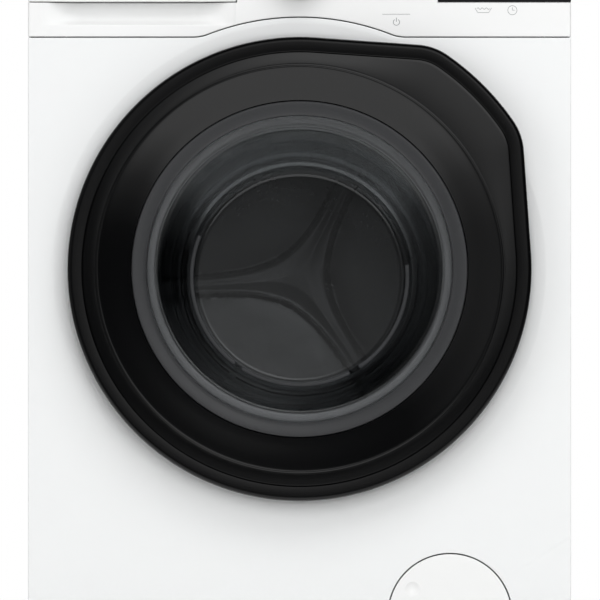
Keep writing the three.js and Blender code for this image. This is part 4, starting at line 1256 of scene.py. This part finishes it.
class WASHER_OT_stage(bpy.types.Operator):
    """Floor, studio lights, white surroundings and a camera square to the front"""
    bl_idname = "washer.stage"
    bl_label = "Stage"

    def execute(self, context):
        scene = context.scene
        scene.view_settings.view_transform = "Standard"
        self.floor(scene)
        self.lights(scene)
        self.surroundings(scene)
        camera = bpy.data.cameras.new("camera")
        camera.sensor_width = SENSOR
        camera.lens = SENSOR * EYE_AWAY / VIEW_WIDTH
        camera.clip_end = 60
        eye = bpy.data.objects.new("camera", camera)
        eye.location = (EYE_X, PANEL_Y * MM - EYE_AWAY, EYE_Z)
        eye.rotation_euler = (math.pi / 2, 0, 0)
        scene.collection.objects.link(eye)
        scene.camera = eye
        return {"FINISHED"}

    def floor(self, scene):
        """A pale disc that fades out towards its edge."""
        mesh = bpy.data.meshes.new("floor")
        ring = arc(0, 0, FLOOR_R, 0, TAU, 97)[:-1]
        mesh.from_pydata(np.column_stack([ring, np.zeros(len(ring))]), [], [range(len(ring))])
        ground = bpy.data.objects.new("floor", mesh)
        scene.collection.objects.link(ground)
        paint = Paint("pale floor")
        drift = paint.noise(3.0, 4)
        tone = paint.mixed(drift * 0.3, (0.8, 0.8, 0.79), (0.76, 0.76, 0.75))
        matt = paint.node("ShaderNodeBsdfDiffuse", {}, tone)
        clear = paint.node("ShaderNodeBsdfTransparent", {})
        far = paint.node("ShaderNodeVectorMath", {"operation": "LENGTH"}, paint.place, out="Value")
        fade = paint.ramp(far / FLOOR_R, (0.42, 0.0), (0.97, 1.0))
        paint.shown(paint.node("ShaderNodeMixShader", {}, fade, matt, clear))
        mesh.materials.append(paint.material)
        ground.visible_glossy = False

    def lights(self, scene):
        """Softboxes: place, aim, size and power. A polished surface doesn't mirror them, because the window in
        the surroundings takes their place there."""
        for name, place, aim, size, power in (
            ("overhead", (0.5, -2.3, 3.0), (0, -0.25, 0.45), (3.0, 1.6), 42),
            ("key", (0.9, -4.2, 1.6), (0, -0.28, 0.45), (2.6, 2.2), 52),
            ("fill", (-2.6, -2.6, 1.1), (0, 0, 0.45), (1.8, 1.8), 18),
            ("low", (0.2, -3.2, 0.3), (0, 0, 0.35), (2.6, 0.5), 9),
            ("back", (0.4, 2.8, 1.9), (0, 0.3, 0.4), (2.4, 1.8), 50),
        ):
            lamp = bpy.data.lights.new(name, "AREA")
            lamp.shape = "RECTANGLE"
            lamp.size, lamp.size_y = size
            lamp.energy = power
            made = bpy.data.objects.new(name, lamp)
            made.location = place
            made.visible_glossy = False
            way = np.array(aim, float) - np.array(place)
            flat = math.hypot(way[0], way[1])
            made.rotation_euler = (math.atan2(flat, -way[2]), 0, math.atan2(-way[0], way[1]))
            scene.collection.objects.link(made)

    def surroundings(self, scene):
        """A white room. A camera sees it plain white, and diffuse light is even. What a polished surface
        mirrors is a dark room with one soft window, up and to the right, and a pale glow near the floor. Both
        are ramps: over the distance between a ray's direction and the window's, and over the ray's height."""
        world = bpy.data.worlds.new("surroundings")
        scene.world = world
        world.use_nodes = True
        paint = Paint("surroundings", world.node_tree)
        way = paint.node("ShaderNodeTexCoord", {}, out="Generated")
        far = paint.node("ShaderNodeVectorMath", {"operation": "DISTANCE"}, way, WINDOW_WAY, out="Value")
        window = paint.ramp(far, (0.0, 1.0), (0.14, 0.95), (0.3, 0.2), (0.42, 0.03), (0.6, 0.003))
        height = paint.node("ShaderNodeSeparateXYZ", {}, way, out="Z")
        side = paint.node("ShaderNodeSeparateXYZ", {}, way, out="X")
        glow = paint.ramp(height + 1.0, (0.0, 0.75), (0.52, 0.7), (0.68, 0.15), (0.85, 0.0))
        glow = glow + paint.ramp(side + 1.0, (0.35, 0.16), (0.62, 0.0))
        seen = paint.node("ShaderNodeLightPath", {}, out="Is Camera Ray")
        glossy = paint.node("ShaderNodeLightPath", {}, out="Is Glossy Ray")
        even = paint.node("ShaderNodeBackground", {}, (*DIFFUSE_ROOM, 1))
        room = paint.node("ShaderNodeBackground", {}, window + glow)
        white = paint.node("ShaderNodeBackground", {}, (1, 1, 1, 1))
        lit = paint.node("ShaderNodeMixShader", {}, glossy, even, room)
        paint.shown(paint.node("ShaderNodeMixShader", {}, seen, lit, white), "ShaderNodeOutputWorld")


class WASHER_OT_finishes(bpy.types.Operator):
    """Every finish, and the CAD parts that keep their own shape"""
    bl_idname = "washer.finishes"
    bl_label = "Finishes"

    def execute(self, context):
        colors, sizes = context.scene.washer_colors, context.scene.washer_sizes
        FINISH.update({
            "white_enamel": enamel("white enamel", colors.enamel),
            "white_plastic": moulded("white plastic", colors.plastic, 0.3, 1100.0, 0.00001),
            "worktop_board": moulded("worktop laminate", colors.worktop, 0.42, 700.0, 0.00004),
            "black_gloss": polished("door frame", colors.bezel, 0.2, 0.0),
            "tinted_cover": polished("door cover", colors.cover, 0.16, 0.5),
            "display_gloss": polished("display", (0.004, 0.004, 0.005), 0.04, 0.5),
            "window_ring_grey": moulded("window ring", colors.window_ring, 0.28, 900.0, 0.00001),
            "bead": moulded("frosted bead", (0.045, 0.047, 0.05), 0.3, 900.0, 0.00001),
            "frame_grey": moulded("inner frame", colors.frame_grey, 0.45),
            "bowl_glass": clear_glass("bowl glass", colors.glass),
            "drum_wall": perforated("perforated steel", colors.steel, DRUM_R * MM, DRUM_Z * MM, sizes.hole_pitch,
                                    sizes.hole),
            "drum_steel": brushed("drum steel", colors.steel, (3.0, 60.0, 3.0)),
            # The drum's back is the drum's own steel at half its tone: painted shade deep inside the drum.
            "drum_back": brushed("pressed steel in painted shade", shade(colors.steel, 0.5), (8.0, 8.0, 8.0), 0.2),
            "zinc_steel": galvanised("zinc", colors.zinc),
            "cast_aluminium": cast("cast aluminium", colors.aluminium),
            "silver_plastic": brushed("silver", colors.silver, (60.0, 60.0, 2.0), 0.3),
            "bright_steel": brushed("bright steel", (0.6, 0.61, 0.62), (2.0, 2.0, 60.0), 0.22),
            "tub_resin": moulded("tub resin", colors.resin, 0.5, 500.0, 0.00006),
            "paddle_resin": moulded("paddle resin", colors.paddle, 0.35, 900.0, 0.00002),
            "dark_resin": moulded("dark resin", colors.dark, 0.5, 700.0, 0.00005),
            "gasket_rubber": rubber("gasket rubber", colors.gasket),
            "belt_rubber": rubber("belt rubber", colors.rubber, 0.1),
            "foot_rubber": rubber("foot rubber", colors.rubber, 0.15),
            "concrete": concrete("concrete", colors.concrete),
            "ink": printed("ink", colors.ink),
            "display_ink": printed("display ink", colors.display_ink),
        })
        for finish, nodes in CAD_FINISHES.items():
            for node in nodes:
                for slot in frame["nodes"][node].material_slots:
                    slot.material = FINISH[finish]
        return {"FINISHED"}


class WASHER_OT_cabinet(bpy.types.Operator):
    """Front panel, side panels, rear panel and service cover"""
    bl_idname = "washer.cabinet"
    bl_label = "Cabinet"

    def execute(self, context):
        piece("front_sheet", front_panel_surfaces(), "cabinet", "white_enamel", "front_panel")
        piece("right_side", side_panel_surfaces(1), "cabinet", "white_enamel", "right_side_panel")
        piece("left_side", side_panel_surfaces(-1), "cabinet", "white_enamel", "left_side_panel")
        piece("rear_sheet", rear_panel_surfaces(), "cabinet", "zinc_steel", "rear_panel")
        piece("service_cover", cover_surfaces(), "cabinet", "zinc_steel", "rear_access_cover")
        low, high = limits("rear_access_cover")
        cover_screws = [screw(x, z, low.y + 2.4, way=1) for x in (low.x + 9, high.x - 9)
                        for z in (low.z + 12, (low.z + high.z) / 2, high.z - 12)]
        rim_screws = [screw(x, z, REAR_HIGH.y - 0.1, way=1) for x in (-287, 287)
                      for z in (60, 240, 430, 620, 800)]
        piece("rear_screws", cover_screws + rim_screws, "cabinet", "bright_steel")
        return {"FINISHED"}


class WASHER_OT_panel(bpy.types.Operator):
    """Control panel with its printed marks, and the display"""
    bl_idname = "washer.control_panel"
    bl_label = "Control panel"

    def execute(self, context):
        piece("control_panel", fascia_surfaces(), "cabinet", "white_plastic", "fascia")
        piece("display", display_surfaces(), "cabinet", "black_gloss", "display_window", finish="display_gloss")
        face = PANEL_Y - INK_PROUD
        printed_marks = self.dial(context.scene.washer_sizes.dial_marks, face)
        printed_marks += self.power_mark(face) + self.care_marks(face)
        marks("panel_marks", printed_marks, "cabinet", "dark_resin", finish="ink")
        marks("display_marks", self.display_marks(), "cabinet", "silver_plastic", finish="display_ink")
        return {"FINISHED"}

    def dial(self, count, face):
        """Strokes on 250 degrees of a circle about the knob, every fifth one longer."""
        out = []
        for k in range(count):
            angle = math.radians(-35 + 250 * k / (count - 1))
            far = np.array([[39.5], [43.5 if k % 5 else 45.5]])
            way = np.array([[math.cos(angle), math.sin(angle)]])
            out += stroke(np.array([[0, KNOB_Z]]) + far * way, 0.8, face)
        return out

    def power_mark(self, face):
        """A line below the buttons, and under it an open ring with a stroke in its gap."""
        width, start, end = 0.7, math.radians(125), math.radians(415)
        return (stroke([(91, 724.2), (121.6, 724.2)], 0.5, face)
                + ring_stroke(BUTTON_X, 715.5, 3.4, width, face, start, end, 40)
                + stroke([(BUTTON_X, 716), (BUTTON_X, 720.4)], width, face))

    def care_marks(self, face):
        """Two small signs below the display: a tub of water and a clock."""
        x, z, width = 193, 726, 0.5
        out = stroke([(x, z + 5), (x + 3, z), (x + 15, z), (x + 18, z + 5)], width, face)
        t = np.linspace(0, 1, 30)
        out += stroke(np.column_stack([x + 2 + 14 * t, z + 4.4 + 0.9 * np.sin(3 * TAU * t)]), width, face)
        x, z = 234, 728.6
        out += ring_stroke(x, z, 5, width, face)
        out += stroke([(x, z), (x, z + 3.2)], width, face)
        out += stroke([(x, z), (x + 2.4, z)], width, face)
        return out

    def display_marks(self):
        """A row of round signs over a row of bars, all as plain strokes."""
        face = DISPLAY_LOW.y - INK_PROUD
        sign_z, bar_z, width = 806, 782, 0.6
        out = []
        for k, x in enumerate(np.linspace(176, 274, 5)):
            out += ring_stroke(x, sign_z, 4.6, 0.7, face)
            if k % 2:
                out += stroke([(x, sign_z), (x, sign_z + 3)], width, face)
                out += stroke([(x, sign_z), (x + 2.2, sign_z)], width, face)
            else:
                out += stroke(arc(x, sign_z - 1.4, 2.4, 0.5, 2.64, 14), width, face)
        for k in range(9):
            x = 178 + 12 * k
            out.append(plain((x, x + 8), (bar_z, bar_z + 2 + k % 3), face))
        return out


class WASHER_OT_controls(bpy.types.Operator):
    """Programme knob and the two buttons"""
    bl_idname = "washer.controls"
    bl_label = "Knob and buttons"

    def execute(self, context):
        sizes = context.scene.washer_sizes
        piece("knob", knob_surfaces(sizes.knob_ribs), "knob", "silver_plastic", "program_knob")
        low = limits("program_knob")[0].y
        marks("knob_pointer", [plain((-1.1, 1.1), (KNOB_Z + 17, KNOB_Z + 28), low - 0.05)],
              "knob", "dark_resin", finish="ink")
        piece("power_key", button_surfaces("power_button"), "power_button", "silver_plastic", "power_button")
        piece("start_key", button_surfaces("start_button"), "start_button", "silver_plastic", "start_button")
        return {"FINISHED"}


class WASHER_OT_drawer(bpy.types.Operator):
    """Front of the detergent drawer"""
    bl_idname = "washer.drawer"
    bl_label = "Drawer"

    def execute(self, context):
        piece("drawer_face", drawer_front_surfaces(), "drawer", "white_plastic", "drawer_front")
        return {"FINISHED"}


class WASHER_OT_worktop(bpy.types.Operator):
    """Worktop board and its front nose"""
    bl_idname = "washer.worktop"
    bl_label = "Worktop"

    def execute(self, context):
        piece("top_board", worktop_surfaces(), "cabinet", "worktop_board", "worktop")
        piece("top_nose", trim_surfaces(), "cabinet", "white_plastic", "worktop_trim")
        return {"FINISHED"}


class WASHER_OT_door(bpy.types.Operator):
    """Door frame, tinted cover, window ring, glass and inner frame"""
    bl_idname = "washer.door"
    bl_label = "Door"

    def execute(self, context):
        sizes = context.scene.washer_sizes
        piece("door_frame", bezel_surfaces() + bezel_ring_surfaces(), "door", "black_gloss", "door_bezel")
        piece("cover", door_cover_surfaces(sizes.crown / MM), "door", "tinted_cover", "door_cover")
        piece("window_ring", window_ring_surfaces(), "door", "window_ring_grey", "door_window_ring")
        piece("bowl", bowl_surfaces(), "door", "bowl_glass", "door_glass")
        piece("bowl_bead", bead_surfaces(), "door", "window_ring_grey", finish="bead")
        piece("inner_frame", inner_frame_surfaces(), "door", "frame_grey", "door_inner_frame")
        piece("inner_screws", frame_screw_surfaces(), "door", "bright_steel")
        return {"FINISHED"}


class WASHER_OT_gasket(bpy.types.Operator):
    """Rubber bellows between the cabinet and the tub"""
    bl_idname = "washer.gasket"
    bl_label = "Gasket"

    def execute(self, context):
        made = piece("gasket", gasket_surfaces(), None, "gasket_rubber", "door_gasket")
        DOOR_Z * MM
        DOOR_Z * MM
        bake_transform(made)
        piece("spray_nozzle", nozzle_surfaces(), "tub", "frame_grey")
        return {"FINISHED"}


class WASHER_OT_drum(bpy.types.Operator):
    """Drum wall, back, front lip and three paddles"""
    bl_idname = "washer.drum"
    bl_label = "Drum"

    def execute(self, context):
        piece("drum_wall", drum_wall_surfaces(), "drum", "drum_steel", "drum_shell", finish="drum_wall")
        piece("drum_back", drum_back_surfaces(), "drum", "drum_steel", "drum_shell", finish="drum_back")
        piece("drum_lip", drum_lip_surfaces(), "drum", "drum_steel", "drum_front_ring")
        for number in (1, 2, 3):
            piece(f"paddle_{number}", paddle_surfaces(number), "drum", "paddle_resin", f"drum_paddle_{number}")
        return {"FINISHED"}


class WASHER_OT_springs(bpy.types.Operator):
    """Coil springs that carry the tub"""
    bl_idname = "washer.springs"
    bl_label = "Suspension springs"

    def execute(self, context):
        sizes = context.scene.washer_sizes
        for side, name in ((-1, "suspension_spring_left"), (1, "suspension_spring_right")):
            made = piece(f"coil_{'right' if side > 0 else 'left'}", spring_surfaces(side, sizes.coils, sizes.wire / MM),
                         None, "bright_steel", name)
            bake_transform(made)
        return {"FINISHED"}


class WASHER_OT_flap(bpy.types.Operator):
    """Filter flap in the foot of the front panel"""
    bl_idname = "washer.flap"
    bl_label = "Filter flap"

    def execute(self, context):
        piece("flap", flap_surfaces(), "flap", "white_plastic", "filter_flap")
        return {"FINISHED"}


class WASHER_OT_feet(bpy.types.Operator):
    """Four levelling feet with lock nuts and threaded studs"""
    bl_idname = "washer.feet"
    bl_label = "Feet"

    def execute(self, context):
        for name in ("foot_front_left", "foot_front_right", "foot_rear_left", "foot_rear_right"):
            low, high = limits(name)
            x, y = (low.x + high.x) / 2, (low.y + high.y) / 2
            piece(f"{name}_pad", foot_pad_surfaces(x, y, low.z), name, "foot_rubber", name)
            stud = thread(x, y, 11, high.z, 5, 1.5, 0.9, sides=24)
            section = softened([(4.5, 12.5), (9.5, 12.5), (9.5, 18.5), (4.5, 18.5)], 0.6, 3, closed=True)
            nut = turned(section, x, 0, 6, axis="Z", y=y)
            piece(f"{name}_stud", [stud, nut], name, "bright_steel")
        return {"FINISHED"}


class WASHER_OT_rear_fittings(bpy.types.Operator):
    """Thread of the water inlet and barbs of the drain outlet"""
    bl_idname = "washer.rear_fittings"
    bl_label = "Rear fittings"

    def execute(self, context):
        inlet = limits("inlet_valve")[1]
        sleeve = thread(INLET_X, INLET_Z, REAR_HIGH.y + 2, inlet.y - 1.2, 13.4, 1.8, 1.2, "Y", 64)
        piece("inlet_thread", [sleeve], "cabinet", "tub_resin")
        barbs = []
        for y in REAR_HIGH.y + np.array([3, 8.2, 13.4]):
            barb = softened([(15, y), (17.4, y + 0.2), (15.6, y + 4), (15, y + 4)], 0.3, 3, closed=True)
            barbs.append(turned(barb, DRAIN_X, DRAIN_Z, 64))
        piece("drain_barbs", barbs, "cabinet", "dark_resin")
        return {"FINISHED"}


ORDER = (WASHER_OT_stage, WASHER_OT_finishes, WASHER_OT_cabinet, WASHER_OT_panel, WASHER_OT_controls, WASHER_OT_drawer,
         WASHER_OT_worktop, WASHER_OT_door, WASHER_OT_gasket, WASHER_OT_drum, WASHER_OT_springs, WASHER_OT_flap,
         WASHER_OT_feet, WASHER_OT_rear_fittings)


class WASHER_PT_panel(bpy.types.Panel):
    """Lists every step of the washing machine with its settings"""
    bl_idname = "WASHER_PT_panel"
    bl_label = "Washing machine"
    bl_space_type = "VIEW_3D"
    bl_region_type = "UI"
    bl_category = "Washer"

    def draw(self, context):
        for group in (context.scene.washer_colors, context.scene.washer_sizes):
            box = self.layout.box()
            for name in group.__annotations__:
                box.prop(group, name)
        for step in ORDER:
            self.layout.operator(step.bl_idname)


CLASSES = (WasherColors, WasherSizes, *ORDER, WASHER_PT_panel)


def register():
    for made in CLASSES:
        bpy.utils.register_class(made)
    bpy.types.Scene.washer_colors = PointerProperty(type=WasherColors)
    bpy.types.Scene.washer_sizes = PointerProperty(type=WasherSizes)


def unregister():
    del bpy.types.Scene.washer_sizes
    del bpy.types.Scene.washer_colors
    for made in reversed(CLASSES):
        bpy.utils.unregister_class(made)


def main():
    register()
    for step in ORDER:
        group, name = step.bl_idname.split(".")
        getattr(getattr(bpy.ops, group), name)()
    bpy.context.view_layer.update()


if __name__ == "__main__":
    main()
